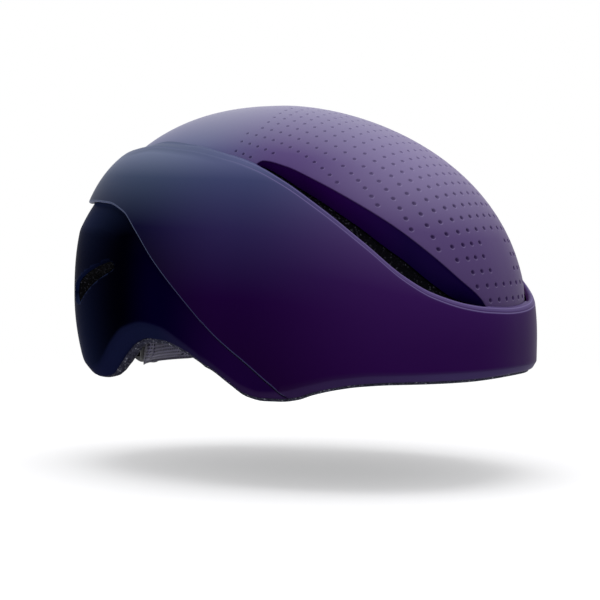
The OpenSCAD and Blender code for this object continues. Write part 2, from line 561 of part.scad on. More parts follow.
// Angles up the roof at which a chin strap's points lie, from the divider's upper edge
chin_low = asin((divider_z + divider_size[0] / 2 - 0.5 - cavity_waist)
    / (cavity_top - strap_lift - cavity_waist));
chin_climb = [chin_low, 35, 42, 49, 56, 63];
module chin_strap_left() color([0.12, 0.12, 0.13]) {
    path = concat([for (l = chin_climb) [(cavity_half[2] - strap_lift) * cos(l), divider_y,
            cavity_waist + (cavity_top - strap_lift - cavity_waist) * sin(l)]],
        [[buckle_half + 7, divider_y, buckle_z + buckle_depth / 2 - 0.3],
         [buckle_half + 1 + seat, divider_y, buckle_z + buckle_depth / 2]]);
    ribbon(path, [for (p = path) [p[0], 0, p[2] - cavity_waist]]);
}
module chin_strap_right() mirror([1, 0, 0]) chin_strap_left();

rail = [8, buckle_width - 4, 2.4];
module buckle_socket() color([0.16, 0.16, 0.18]) difference() {
    translate([1, divider_y - buckle_width / 2, buckle_z]) cube([buckle_half, buckle_width, buckle_depth]);
    translate([0, divider_y - rail[1] / 2 - seat, buckle_z + buckle_depth / 2 - rail[2] / 2 - 0.2])
        cube([rail[0] + 1 + seat, buckle_width, rail[2] + 0.4]);
    translate([5, divider_y, buckle_z + buckle_depth - 1.4]) cylinder(r = 3.1, h = 2);
}
module socket_magnet() color([0.8, 0.8, 0.82])
    translate([5, divider_y, buckle_z + buckle_depth - 1.35]) cylinder(r = 3, h = 1.3);
module buckle_slider() color([0.16, 0.16, 0.18]) difference() {
    union() {
        translate([-buckle_half + 0.7, divider_y - buckle_width / 2, buckle_z])
            cube([buckle_half, buckle_width, buckle_depth]);
        translate([0, divider_y - rail[1] / 2, buckle_z + buckle_depth / 2 - rail[2] / 2])
            cube(rail + [0.8, 0, 0]);
    }
    translate([5, divider_y, buckle_z + buckle_depth / 2 - rail[2] / 2 - 1]) cylinder(r = 3.1, h = 2.2);
}
module slider_magnet() color([0.8, 0.8, 0.82])
    translate([5, divider_y, buckle_z + buckle_depth / 2 - rail[2] / 2 + 0.05]) cylinder(r = 3, h = 1.1);
keeper_climb = 49;
keeper_wall = 1;
keeper_room = 0.5;
keeper_hole = [7, strap_width + 2 * keeper_room, strap_thickness + 2 * keeper_room];
module strap_keeper() color([0.1, 0.1, 0.1])
    translate([(cavity_half[2] - strap_lift) * cos(keeper_climb), divider_y,
            cavity_waist + (cavity_top - strap_lift - cavity_waist) * sin(keeper_climb)])
        rotate([0, 90 - keeper_climb, 0]) difference() {
            cube(keeper_hole + [-2, 2 * keeper_wall, 2 * keeper_wall], center = true);
            cube(keeper_hole, center = true);
        }

crown_shell();
wrap_shell();
rear_shell();
eps_liner();
brow_pad();
side_pad_left();
side_pad_right();
crown_pad_front_left();
crown_pad_front_right();
crown_pad_rear_left();
crown_pad_rear_right();
hook_dots();
temple_socket_left();
temple_socket_right();
temple_pin_left();
temple_pin_right();
belt_arm_left();
belt_arm_right();
cradle_yoke();
cradle_pad();
dial_housing();
dial_cover();
dial_knob();
dial_pinion();
height_strap();
height_peg();
strap_anchors();
front_strap_left();
front_strap_right();
rear_strap_left();
rear_strap_right();
divider_left();
divider_right();
cam_lever_left();
cam_lever_right();
chin_strap_left();
chin_strap_right();
buckle_socket();
socket_magnet();
buckle_slider();
slider_magnet();
strap_keeper();
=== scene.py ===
import json
import math
import bpy
import bmesh
import numpy as np
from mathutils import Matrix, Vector

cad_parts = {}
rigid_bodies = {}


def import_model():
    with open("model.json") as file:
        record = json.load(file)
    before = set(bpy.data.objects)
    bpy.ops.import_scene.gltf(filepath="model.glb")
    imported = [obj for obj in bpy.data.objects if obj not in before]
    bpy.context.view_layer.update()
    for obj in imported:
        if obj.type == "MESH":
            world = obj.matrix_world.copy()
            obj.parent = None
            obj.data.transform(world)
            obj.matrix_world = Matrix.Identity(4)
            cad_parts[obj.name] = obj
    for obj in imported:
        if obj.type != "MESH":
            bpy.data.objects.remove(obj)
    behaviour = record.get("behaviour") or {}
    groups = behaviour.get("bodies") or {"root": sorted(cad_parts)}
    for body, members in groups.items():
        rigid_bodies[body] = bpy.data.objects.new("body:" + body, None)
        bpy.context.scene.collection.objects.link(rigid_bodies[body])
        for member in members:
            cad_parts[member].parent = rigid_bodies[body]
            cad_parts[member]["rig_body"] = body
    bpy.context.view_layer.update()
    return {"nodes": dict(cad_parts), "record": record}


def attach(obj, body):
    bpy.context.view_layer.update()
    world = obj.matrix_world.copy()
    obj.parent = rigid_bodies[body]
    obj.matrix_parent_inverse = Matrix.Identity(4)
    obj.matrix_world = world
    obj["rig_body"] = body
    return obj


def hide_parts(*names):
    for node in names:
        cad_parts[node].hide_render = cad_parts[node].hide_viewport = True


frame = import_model()

# ---- Camera, lamp and floor ----
# The camera looks at the wearer's right front from 3.6 degrees above level.
# One wide soft lamp hangs over a pale floor that fades out into the white world.
turn, tilt, distance = math.radians(30), math.radians(3.6), 1.366
back = Vector((-math.cos(turn) * math.cos(tilt), -math.sin(turn) * math.cos(tilt), math.sin(tilt)))
camera = bpy.data.objects.new("camera", bpy.data.cameras.new("camera"))
camera.location = Vector((0.00217, -0.00075, 0.0485)) + distance * back
camera.rotation_euler = back.to_track_quat("Z", "Y").to_euler()
camera.data.lens, camera.data.sensor_width = 141.84, 36
bpy.context.scene.collection.objects.link(camera)
bpy.context.scene.camera = camera
bpy.context.scene.view_settings.view_transform = "Standard"

overhead = bpy.data.lights.new("overhead", "AREA")
overhead.shape, overhead.size, overhead.energy = "SQUARE", 2.0, 22.4
lamp = bpy.data.objects.new("overhead", overhead)
lamp.location = (0.01, 0, 2.2)
bpy.context.scene.collection.objects.link(lamp)


def new_tree(tree):
    """Short forms for a node tree: add(type, values, **settings) places a node whose inputs hold
    the values, given by name or number, and join(output, input) links two sockets."""
    def add(kind, values=None, **settings):
        node = tree.nodes.new("ShaderNode" + kind)
        for key, value in settings.items():
            setattr(node, key, value)
        for key, value in (values or {}).items():
            node.inputs[key].default_value = value
        return node
    return add, tree.links.new


WORLD_LIGHT = 0.58  # strength on the object, where the camera and reflections see 1
world = bpy.data.worlds.new("studio")
world.use_nodes = True
world.node_tree.nodes.clear()
add, join = new_tree(world.node_tree)
rays, strength = add("LightPath"), add("MapRange", {"To Min": WORLD_LIGHT, "To Max": 1})
seen, more = add("Math", operation="MAXIMUM"), add("Math", operation="MAXIMUM")
light, out = add("Background", {"Color": (1, 1, 1, 1)}), add("OutputWorld")
join(rays.outputs["Is Camera Ray"], seen.inputs[0])
join(rays.outputs["Is Transmission Ray"], seen.inputs[1])
join(rays.outputs["Is Glossy Ray"], more.inputs[0])
join(seen.outputs[0], more.inputs[1])
join(more.outputs[0], strength.inputs["Value"])
join(strength.outputs[0], light.inputs["Strength"])
join(light.outputs[0], out.inputs["Surface"])
bpy.context.scene.world = world


def linear(*rgb):
    """Colour written as three 0 to 255 numbers, for a node socket: the sRGB curve undone."""
    v = np.array(rgb) / 255
    return (*np.where(v < 0.04045, v / 12.92, ((v + 0.055) / 1.055) ** 2.4), 1)


def new_material(name, **sockets):
    """Material with one Principled shader whose sockets hold the given constants."""
    made = bpy.data.materials.new(name)
    made.use_nodes = True
    shader = made.node_tree.nodes["Principled BSDF"]
    for key, value in sockets.items():
        shader.inputs[key.replace("_", " ")].default_value = value
    return made, shader, *new_tree(made.node_tree)


def new_mesh(name, points, faces):
    """Mesh object of points in millimetres and faces given as arrays of index rows."""
    mesh = bpy.data.meshes.new(name)
    mesh.from_pydata((points / 1000).tolist(), [], [f for block in faces for f in block.tolist()])
    made = bpy.data.objects.new(name, mesh)
    bpy.context.scene.collection.objects.link(made)
    return made


FLOOR_HALF, HOVER = 900, 48  # half the floor's side, and its distance below the rim, in mm
FLOOR_GLOW = 0.34  # light that the floor adds for the camera alone
paper, shader, add, join = new_material("floor_white", Base_Color=linear(238, 238, 240),
                                        Emission_Color=(1, 1, 1, 1), Roughness=0.9)
rays, where, gap = add("LightPath"), add("TexCoord"), add("VectorMath", operation="LENGTH")
fade = add("MapRange", {"From Min": 0.3, "From Max": 0.75, "To Min": 1, "To Max": 0},
           interpolation_type="SMOOTHSTEP")
glow = add("Math", {1: FLOOR_GLOW}, operation="MULTIPLY")
join(where.outputs["Object"], gap.inputs[0])
join(gap.outputs["Value"], fade.inputs["Value"])
join(fade.outputs["Result"], shader.inputs["Alpha"])
join(rays.outputs["Is Camera Ray"], glow.inputs[0])
join(glow.outputs[0], shader.inputs["Emission Strength"])
corner = np.array([[-1, -1], [1, -1], [1, 1], [-1, 1]]) * FLOOR_HALF
floor = new_mesh("floor", np.c_[corner, np.full(4, -HOVER)], [np.array([[0, 1, 2, 3]])])
floor.data.materials.append(paper)

# ---- Wrap shell ----
# The outer shell round brow and sides, moulded in clear polycarbonate and painted inside,
# satin, violet at the front and slate blue behind; a painted reflection of the overhead lamp
# makes it lighter where it faces up. Its rounded top lip stands off the dome, and a chamfered
# band runs along its lower edge. It is bonded to the foam.

# Skins of the two shells, in millimetres: half lengths ahead, behind and across, the top's height,
# the waist's height and two powers of each half length, the tuck below the waist, the powers of
# the plan ahead and behind, and how far back the middle lies.
WRAP = dict(half=(143.5, 138.5, 101.5), top=149.5,
            rise=((28, 2.2, 2.1), (51, 2.5, 4.0), (40, 2.4, 2.8)),
            tuck=(0.0008, 0.0045, 0.0015), plan=(2.3, 1.92), back=2.5)
DOME = dict(half=(144.2, 131.5, 95), top=160.5,
            rise=((20, 2.57, 1.72), (49, 2.1, 2.4), (49, 2.05, 2.0)),
            tuck=(0, 0, 0), plan=(2.26, 2.0), back=7)
WALL, SEAT = 2, 0.3  # thickness of a shell, and the glue line behind it
BAND_LEAN = 0.55  # how far the band leans in for each millimetre down
STEP_DEEP, STEP_TALL = 3.5, 16  # the step under the crease, and the height over which it fades
CREASE_START = 72  # angle from the front at which the crease leaves the rim


def reach(z, half, top, rise, tuck):
    """Half length of a skin at height z: it tucks in below its waist by the square of the drop, and
    closes at its top as a superellipse."""
    t = np.clip((z - rise[0]) / (top - rise[0]), 0, 1)
    return np.where(z < rise[0], half - tuck * (rise[0] - z) ** 2,
                    half * (1 - t ** rise[1]) ** (1 / rise[2]))


def skin(form, a, z, inside=0):
    """Point of a skin at angle a from the front, in degrees, and height z: a superellipse in plan,
    made smaller by inside on every side."""
    top = form["top"] - inside
    a, z = np.radians(a), np.minimum(z, top)
    front = np.cos(a) > 0
    n = np.where(front, *form["plan"])
    ahead, behind, side = (
        reach(z, form["half"][i] - inside, top, form["rise"][i], form["tuck"][i]) for i in range(3))
    x = side * np.sign(np.sin(a)) * np.abs(np.sin(a)) ** (2 / n)
    y = form["back"] - (np.where(front, ahead, behind) * np.sign(np.cos(a))
                        * np.abs(np.cos(a)) ** (2 / n))
    return np.stack(np.broadcast_arrays(x, y, z), -1)


def fold(a):
    """Angle from the front on either side, 0 to 180 degrees."""
    return np.abs((np.asarray(a, float) + 180) % 360 - 180)


def smooth(t):
    """0 below 0 and 1 above 1, with a cubic between that is level at both ends."""
    t = np.clip(t, 0, 1)
    return t * t * (3 - 2 * t)


def curve(*points):
    """Height as a function of the angle from the front: cubics through the points, whose slope at
    a point is the harmonic mean of its neighbours' and 0 at a peak, so that none overshoots."""
    p = np.array(points, float)
    w = np.diff(p[:, 0])
    r = np.diff(p[:, 1]) / w
    s = np.zeros(len(p))
    both = r[:-1] * r[1:] > 0
    s[1:-1][both] = 2 * r[:-1][both] * r[1:][both] / (r[:-1] + r[1:])[both]

    def height(a):
        """Cubic between the two points that the folded angle lies between."""
        b = fold(a)
        k = np.clip(np.searchsorted(p[:, 0], b, side="right") - 1, 0, len(w) - 1)
        t = np.clip((b - p[k, 0]) / w[k], 0, 1)
        return ((1 + 2 * t) * (1 - t) ** 2 * p[k, 1] + t * (1 - t) ** 2 * w[k] * s[k]
                + t * t * (3 - 2 * t) * p[k + 1, 1] + t * t * (t - 1) * w[k] * s[k + 1])
    return height


# Lines round the helmet: the angle from the front in degrees, and the height in millimetres
seam = curve((0, 49), (13, 50.5), (22, 53), (33, 59.5), (41, 69), (50, 86), (60, 104), (70, 118),
             (80, 127), (92, 133), (108, 137.5), (128, 139.5), (141, 137), (155, 135), (180, 134))
dome_edge = curve((0, 43), (10.5, 45.5), (14, 55), (22, 67), (30, 80), (40, 95.5), (50, 108),
                  (60, 118.5), (70, 126.5), (78, 129.5), (84, 123), (100, 127), (125, 130),
                  (150, 126), (180, 124))
crease = curve((72, 3), (76, 9.5), (81, 20), (85, 28.3), (87, 33), (89, 38.8), (90, 42.4),
               (91, 44.4), (93, 48.6), (97, 57), (105, 73.5), (113, 89.5), (120.5, 100),
               (130, 104.5), (140, 105), (150, 104.5), (165, 103), (180, 102.5))
rim = curve((0, 11), (20, 10.3), (45, 10), (54, 9), (60, 7.2), (66, 4.2), (70, 1.2), (74, 0),
            (78, 0), (82, 2), (85.5, 8), (90, 17), (94, 21.5), (98.5, 25.3), (104, 28),
            (109, 28.3), (114.5, 25), (119.5, 18.5), (124, 12), (128.5, 7), (134, 5.2), (140, 5),
            (147, 7), (160, 13.5), (180, 19))
band_top = curve((0, 16.5), (50, 15.5), (60, 13.5), (67, 10), (74, 6), (78, 5.5), (82, 8.5),
                 (86, 15.5), (90, 23.5), (96, 31.5), (102, 38), (108, 40), (115.5, 36),
                 (121.5, 27), (127, 17.5), (131.5, 12.5), (138, 10), (150, 13), (165, 19),
                 (180, 23))
foot_shows = curve((0, 1.7), (60, 1.7), (85, 2.2), (100, 2.6), (118, 2.4), (130, 0.7), (160, 0.8),
                   (180, 1.6))  # height of the bare foam under the shells
# Share of the step's depth along the same angle
step_in = curve((72, 0), (85, 0.2), (105, 0.55), (125, 0.9), (150, 1), (180, 1))


def band(a, z, soft=0.5):
    """Depth of the chamfered band along the rim at height z, with a crease on top that a parabola
    softens over soft millimetres up and down."""
    d = band_top(a) - z
    return BAND_LEAN * np.where(np.abs(d) < soft, (d + soft) ** 2 / (4 * soft), np.maximum(d, 0))


def step(a, z):
    """Depth of the step under the crease, where the rear panel lies behind the wrap shell: it
    fades evenly above and below the crease."""
    b = fold(a)
    fades = np.maximum(0, 1 - np.abs(z - crease(b)) / STEP_TALL)
    return np.where(b < CREASE_START, 0, STEP_DEEP * step_in(b) * fades)


def set_in(a, z, inside=0, soft=0.5):
    """Point inside the wrap shell's skin, behind its band and its step."""
    return skin(WRAP, a, z, inside + band(a, z, soft) + step(a, z))


def vent(a):
    """Height of the open vent between the dome's edge and the wrap shell's lip."""
    return np.maximum(0, dome_edge(a) - seam(a))


def ring_faces(rows, close=False):
    """Quads between rings of equal length; close joins the last ring to the first."""
    n, m = len(rows), len(rows[0])
    index = np.arange(n * m).reshape(n, m)
    if close:
        index = np.vstack([index, index[:1]])
    index = np.hstack([index, index[:, :1]])
    quads = [index[:-1, :-1], index[:-1, 1:], index[1:, 1:], index[1:, :-1]]
    return np.stack(quads, -1).reshape(-1, 4)


def mark(made, name, values):
    """Stores a number per point on the mesh, for its material to read by name."""
    spot = made.data.attributes.new(name, "FLOAT", "POINT")
    spot.data.foreach_set("value", np.ascontiguousarray(values, np.float32))


def solid(name, points, faces, marks=None, crisp=40):
    """Closed smooth mesh: faces are turned outward by the sign of their volume, and edges sharper
    than crisp degrees stay crisp. marks holds numbers per point."""
    volume = 0
    for block in faces:
        p = points[block]
        for k in range(1, block.shape[1] - 1):
            volume += np.einsum("ij,ij->i", p[:, 0], np.cross(p[:, k], p[:, k + 1])).sum()
    made = new_mesh(name, points, faces if volume > 0 else [block[:, ::-1] for block in faces])
    for key, values in (marks or {}).items():
        mark(made, key, values)
    made.data.shade_smooth()
    made.data.set_sharp_from_angle(angle=math.radians(crisp))
    return made


# Rows from the rim up: the rounded lower edge, the band, its kink, and the side up to the lip
EDGE_ROUND = 1.1
around = np.arange(0, 360, 0.5)
low = np.where(fold(around) <= CREASE_START, rim(around) + foot_shows(around), crease(around))
top = seam(around)
kink = np.maximum(band_top(around), low + 1.6)
levels = [(low + up, inside)
          for up, inside in ((0, EDGE_ROUND), (0.15, 0.6), (0.5, 0.2), (EDGE_ROUND, 0))]
levels += [(low + EDGE_ROUND + (kink - 0.5 - low - EDGE_ROUND) * t, 0) for t in (0.5, 1)]
levels += [(kink + up, 0) for up in (-0.2, 0.1, 0.5)]
rows = [skin(WRAP, around, z, inside + band(around, z)) for z, inside in levels]
for t in np.linspace(0.03, 1, 36):
    rows.append(skin(WRAP, around, kink + 0.5 + (top - 6.5 - kink) * t))

# The lip rolls over as a quarter ellipse, and two fine grooves run along the roll, each also
# painted with a fine highlight line
LIP_TALL, LIP_DEEP = 4, 2.3
GROOVES, GROOVE_DEEP = ((17, 4.5), (62, 6)), 0.14  # place and width on the roll, in degrees
roll_row = len(rows)
shine = [0.0] * roll_row
for angle in np.arange(2.5, 91, 2.5):
    z = top - LIP_TALL * (1 - math.sin(math.radians(angle)))
    w, d = skin(WRAP, around, z), skin(DOME, around, z)
    gap = np.maximum(np.linalg.norm(w - d, axis=1), 0.1)
    groove = sum(math.exp(-((angle - place) / width) ** 2) for place, width in GROOVES)
    t = np.minimum(LIP_DEEP * (1 - math.cos(math.radians(angle))) / gap, 0.5)
    t = t + GROOVE_DEEP * groove / np.maximum(gap, 2)
    rows.append(w + (d - w) * t[:, None])
    # each groove's profile also sets how much painted highlight its rows get
    shine.append(0.8 * groove ** 1.4)
lip_row = len(rows)


def lip_end(under):
    """Inner end of the lip: against the dome where there is no vent, free where there is one."""
    s = smooth(vent(around) / 5)[:, None]
    closed = skin(DOME, around, top - under + 0.5, -SEAT)
    return closed * (1 - s) + skin(WRAP, around, top - under - 1, 4.5) * s


rows.append(rows[-1] * 0.5 + lip_end(0) * 0.5 + [0, 0, 0.1])
rows += [lip_end(under) for under in (0.1, 0.9, WALL)]
inner_row = len(rows)
# The inner wall goes down to the rim, and stays outside the dome where the two overlap
for t in np.linspace(0, 1, 14):
    z = top - 4.5 + (kink - top + 4.5) * t
    w, d = skin(WRAP, around, z, WALL + step(around, z)), skin(DOME, around, z, -1.5 * SEAT)
    far_w, far_d = (np.hypot(p[:, 0], p[:, 1] - DOME["back"]) for p in (w, d))
    rows.append(np.where(((z > dome_edge(around) - 3) & (far_w < far_d))[:, None], d, w))
rows.append(set_in(around, low, WALL))
shine += [0.0] * (len(rows) - lip_row)


def every_row(values):
    """Values given round the helmet, repeated for each row."""
    return np.tile(values, len(rows))


# Marks for the paint: the dark free lip, the painted highlight lines along the grooves and the
# lower edge, and the band, which gets a painted highlight
level = np.repeat(np.arange(len(rows)), len(around))
lip_mark = ((level >= lip_row) & (level < inner_row)) * every_row(smooth(vent(around) / 2))
groove_highlight_mark = np.repeat(shine, len(around))
behind = every_row(smooth((fold(around) - 60) / 40))
fade = np.where(fold(around) < 73, 0, np.maximum(0.3, smooth((fold(around) - 86) / 22)))
edge_highlight_mark = (level <= 2) * every_row(fade) + groove_highlight_mark * behind
points = np.concatenate(rows)
band_mark = smooth((every_row(band_top(around)) + 1.4 - points[:, 2]) / 2.4)
wrap = solid("wrap_shell_skin", points, [ring_faces(rows, close=True)],
             dict(lip=lip_mark, rim_line=edge_highlight_mark, groove=groove_highlight_mark * (1 - behind),
                  band=band_mark))
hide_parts("wrap_shell")
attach(wrap, "helmet")


def mark_slope(made, most=1):
    """Stores the upward part of each point's normal, up to most, for the painted reflection and
    shade that change with it.
    """
    normal = np.empty(len(made.data.vertices) * 3, np.float32)
    made.data.vertex_normals.foreach_get("vector", normal)
    mark(made, "slope", np.minimum(normal.reshape(-1, 3)[:, 2], most))


# On the roll of the lip the slope stops at most, so that its painted highlight doesn't turn too
# light
most = every_row(0.5 + 0.22 * smooth((fold(around) - 60) / 25))
mark_slope(wrap, np.where((level >= roll_row) & (level < inner_row), most, 1))


def new_group(name, **outputs):
    """Node group with the given outputs, written as name=socket type, and its output node."""
    group = bpy.data.node_groups.new(name, "ShaderNodeTree")
    for key, kind in outputs.items():
        group.interface.new_socket(key, in_out="OUTPUT", socket_type="NodeSocket" + kind)
    return group, *new_tree(group), group.nodes.new("NodeGroupOutput")


def use_group(material, group):
    """Places a node group in a material."""
    node = material.node_tree.nodes.new("ShaderNodeGroup")
    node.node_tree = group
    return node


def blend_in(add, join, colour, mask, over):
    """Colour with over laid on it where mask is 1; both are colours or outputs."""
    mix = add("Mix", data_type="RGBA")
    join(mask, mix.inputs["Factor"])
    for socket, value in ((mix.inputs[6], colour), (mix.inputs[7], over)):
        if isinstance(value, tuple):
            socket.default_value = value
        else:
            join(value, socket)
    return mix.outputs[2]


def along_helmet(add, join, front, rear, **settings):
    """0 at the place front and 1 at rear, in metres from the middle towards the back."""
    where, split = add("TexCoord"), add("SeparateXYZ")
    part = add("MapRange", {"From Min": front, "From Max": rear}, **settings)
    join(where.outputs["Object"], split.inputs[0])
    join(split.outputs["Y"], part.inputs["Value"])
    return part.outputs[0]


def ramp(add, join, value, stops):
    """Colour that follows a value: stops gives a colour for each place from 0 to 1."""
    node = add("ValToRGB")
    bar = node.color_ramp.elements
    while len(bar) < len(stops):
        bar.new(0.5)
    for stop, (at, shade) in zip(bar, sorted(stops.items())):
        stop.position, stop.color = at, linear(*shade)
    join(value, node.inputs["Fac"])
    return node.outputs["Color"]


def raise_by(shader, add, join, height, strength, distance):
    """Bumps a material's surface by a height; distance is in metres."""
    bump = add("Bump", {"Strength": strength, "Distance": distance})
    join(height, bump.inputs["Height"])
    join(bump.outputs[0], shader.inputs["Normal"])


SLOPE_MIN = -0.25  # slope at the lower end of a paint's ramps, whose upper end is 1


def tone_and_sheen_group(name, *zones):
    """Colour of a two-tone paint with painted reflection and shade: each zone is a place along the
    helmet, in metres, and the colours there for slopes from SLOPE_MIN to 1, which change with the
    slope in place of the overhead lamp's reflection; zones pass smoothly into each other."""
    group, add, join, out = new_group(name, Color="Color")
    slope = add("Attribute", attribute_name="slope")
    shift = add("MapRange", {"From Min": SLOPE_MIN})
    join(slope.outputs["Fac"], shift.inputs["Value"])
    for (place, colours), before in zip(zones, (None,) + zones):
        stops = {(at - SLOPE_MIN) / (1 - SLOPE_MIN): shade for at, shade in colours.items()}
        zone = ramp(add, join, shift.outputs[0], stops)
        if before:
            part = along_helmet(add, join, before[0], place, interpolation_type="SMOOTHSTEP")
            zone = blend_in(add, join, colour, part, zone)
        colour = zone
    join(colour, out.inputs["Color"])
    return group


# Slope colours of the wrap shell: its two-tone paint, lighter where it faces up as painted
# reflection
wrap_tone_and_sheen = tone_and_sheen_group(
    "wrap_tone_and_sheen",
    (-0.11, {-0.2: (32, 0, 56), 0.15: (54, 24, 84), 0.4: (80, 60, 112), 1: (134, 126, 178)}),
    (-0.015, {-0.2: (18, 0, 30), 0.05: (30, 4, 56), 0.3: (46, 38, 84), 0.6: (64, 70, 110),
              1: (124, 130, 172)}),
    (0.065, {0.15: (0, 2, 10), 0.3: (2, 4, 38), 0.6: (60, 72, 100), 1: (136, 146, 178)}))

# Faint ripple of a moulded and lacquered surface, for the bump of every painted piece
ripple, add, join, out = new_group("lacquer_ripple", Height="Float")
where, noise = add("TexCoord"), add("TexNoise", {"Scale": 260, "Detail": 1})
join(where.outputs["Object"], noise.inputs["Vector"])
join(noise.outputs["Fac"], out.inputs["Height"])


def lacquer(material, shader, add, join):
    """Adds the ripple to a material's normal."""
    raise_by(shader, add, join, use_group(material, ripple).outputs[0], 0.05, 0.0004)


# Colour of the band along the rim, from the front to the back: the two-tone paint made lighter
# as a painted highlight on the chamfer
band_highlight_colours, add, join, out = new_group("band_highlight_colours", Color="Color")
colour = ramp(add, join, along_helmet(add, join, -0.14, 0.14),
              {0.05: (62, 49, 92), 0.38: (46, 27, 68), 0.62: (20, 24, 54)})
join(colour, out.inputs["Color"])

satin, shader, add, join = new_material("wrap_satin", Roughness=0.38, IOR=1.25,
                                        Specular_IOR_Level=0.05, Specular_Tint=(0.55, 0.12, 1, 1))
colour = use_group(satin, wrap_tone_and_sheen).outputs[0]
# Over the slope colours: the band with its painted highlight, the painted highlight lines on the
# lower edge and along the grooves, and the dark free lip
for name, over in (("band", use_group(satin, band_highlight_colours).outputs[0]),
                   ("rim_line", linear(96, 104, 138)), ("groove", linear(132, 118, 170)),
                   ("lip", linear(52, 8, 78))):
    mask = add("Attribute", attribute_name=name)
    colour = blend_in(add, join, colour, mask.outputs["Fac"], over)
join(colour, shader.inputs["Base Color"])
lacquer(satin, shader, add, join)
wrap.data.materials.append(satin)

# ---- Dome ----
# The crown shell, moulded like the wrap shell, violet at the front and slate blue behind; a
# painted reflection of the overhead lamp makes it lavender where it faces up. Rows of small round
# dimples cover its front, each with painted shade and a painted highlight on its lower lip. Along
# the side vents its edge turns down and in as a glossy dark wall. It is bonded to the foam.
PITCH = 8.2  # between columns of dimples on the brow
AXIS = np.array([7.0, 49.0])  # place and height of the axis across, from which the rows fan out
CELL = 4  # steps along each side of a tile
AROUND = 4 * CELL
RINGS = ((1.95, 0), (1.55, 0), (1.3, 0.16), (1.0, 0.56), (0.6, 0.8))  # radius and depth
DIMPLE_DEEP = 0.88
SHADED = (0, 0, 0.25, 0.9, 1)  # painted shade per ring, and painted highlight on its lower side
LIT = (0, 0.6, 1, 0.3, 0)
OVAL = dict(angle=12.3, tall=5, wide=13, push=5)  # the bare oval on the brow


def row_angle(r):
    """Angle up from the front, in degrees, of dimple row r; rows lie closer on the brow."""
    return 45.2 + np.where(r < 13, 3.33, 3.85) * (r - 13)


def column_pitch(c, angle):
    """Place across of column c, in millimetres: columns draw together by 0.42 percent for each
    degree past 20, and part by up to the oval's push round the bare oval."""
    x = PITCH * c * (1 - 0.0042 * np.clip(angle - 20, 0, 90))
    t = np.abs(x) / OVAL["wide"]
    up = (angle - OVAL["angle"]) / OVAL["tall"]
    apart = OVAL["push"] * t * np.exp((1 - t * t) / 2 - up ** 2)
    most = DOME["half"][2] - 0.02
    return np.clip(x + np.sign(x) * apart, -most, most)


def dome_plan(y, z):
    """Half length of the dome's ring at height z on the side of y, its half width and its power."""
    ahead, behind, side = (
        reach(z, DOME["half"][i], DOME["top"], DOME["rise"][i], 0) for i in range(3))
    return (np.maximum(np.where(y < 0, ahead, behind), 1e-6), np.maximum(side, 1e-6),
            np.where(y < 0, *DOME["plan"]))


def on_dome(x, angle):
    """Point of the dome's skin on the ray that leaves the axis at this angle: the ray is halved
    until it ends where the superellipse's sum of powers is 1."""
    c, s = -np.cos(np.radians(angle)), np.sin(np.radians(angle))
    near, far = np.zeros_like(x), np.full_like(x, 200.0)
    for _ in range(34):
        mid = (near + far) / 2
        y, z = c * mid, AXIS[1] + s * mid
        long, wide, n = dome_plan(y, z)
        out = ((np.abs(x) / wide) ** n + (np.abs(y) / long) ** n > 1) | (z > DOME["top"])
        near, far = np.where(out, near, mid), np.where(out, mid, far)
    return np.stack([x, AXIS[0] + c * near, AXIS[1] + s * near], -1)


def dome_turn(p):
    """Angle from the front at which skin() gives this point: the arc tangent of its shares of the
    half width and half length, each with the power of the superellipse undone."""
    x, y = p[:, 0], p[:, 1] - AXIS[0]
    long, wide, n = dome_plan(y, p[:, 2])
    return np.degrees(np.arctan2(np.sign(x) * (np.abs(x) / wide) ** (n / 2),
                                 -np.sign(y) * (np.abs(y) / long) ** (n / 2)))


def dome_normal(p):
    """Outward normal of the dome's skin: the cross product of steps to two nearby rays."""
    x, angle = p[:, 0], np.degrees(np.arctan2(p[:, 2] - AXIS[1], -(p[:, 1] - AXIS[0])))
    n = np.cross(on_dome(x + 0.4, angle) - on_dome(x - 0.4, angle),
                 on_dome(x, angle + 0.25) - on_dome(x, angle - 0.25))
    n = n / np.linalg.norm(n, axis=1)[:, None]
    return n * np.sign(np.einsum("ij,ij->i", n, p - [0, *AXIS]))[:, None]


# Square tiles in steps of columns and rows. Dimples keep off the dome's edge, the seam, the bare
# oval and the back.
cc, rr = (g.ravel() for g in np.meshgrid(np.arange(-18.5, 19, 1), np.arange(-5, 43)))
mid_angle = row_angle(rr)
mid = on_dome(column_pitch(cc, mid_angle), mid_angle)
turned, wide = dome_turn(mid), np.abs(mid[:, 0])
oval = (np.abs(cc) < 1) & (mid_angle > 6.5) & (mid_angle < 18)
last = 2 + 8 * smooth((wide - 45) / 20) - 14 * smooth((20 - wide) / 20)
dimpled = ((mid[:, 2] - dome_edge(turned) > 4.2) & (mid[:, 2] > seam(turned) + 2) & ~oval
           & (mid[:, 1] <= last) & (wide < 80))
side = np.arange(CELL) / CELL - 0.5
low_side, high_side = np.full(CELL, -0.5), np.full(CELL, 0.5)
border = np.concatenate([np.stack(pair, -1) for pair in (
    (side, low_side), (high_side, side), (-side, high_side), (low_side, -side))])
steps = np.arange(CELL + 1) / CELL - 0.5
grid = np.stack(np.meshgrid(steps, steps), -1).reshape(-1, 2)

# Plain tiles
plain = np.argwhere(~dimpled).ravel()
place = (np.stack([cc, rr], -1)[plain, None] + grid).reshape(-1, 2)
quads = (np.arange(CELL)[:, None] * (CELL + 1) + np.arange(CELL)).ravel()
quads = np.stack([quads, quads + 1, quads + CELL + 2, quads + CELL + 1], -1)
faces = (np.arange(len(plain))[:, None, None] * len(grid) + quads).reshape(-1, 4)
angle = row_angle(place[:, 1])
plain_points = on_dome(column_pitch(place[:, 0], angle), angle)
triangles = [faces[:, [0, 1, 2]], faces[:, [0, 2, 3]]]
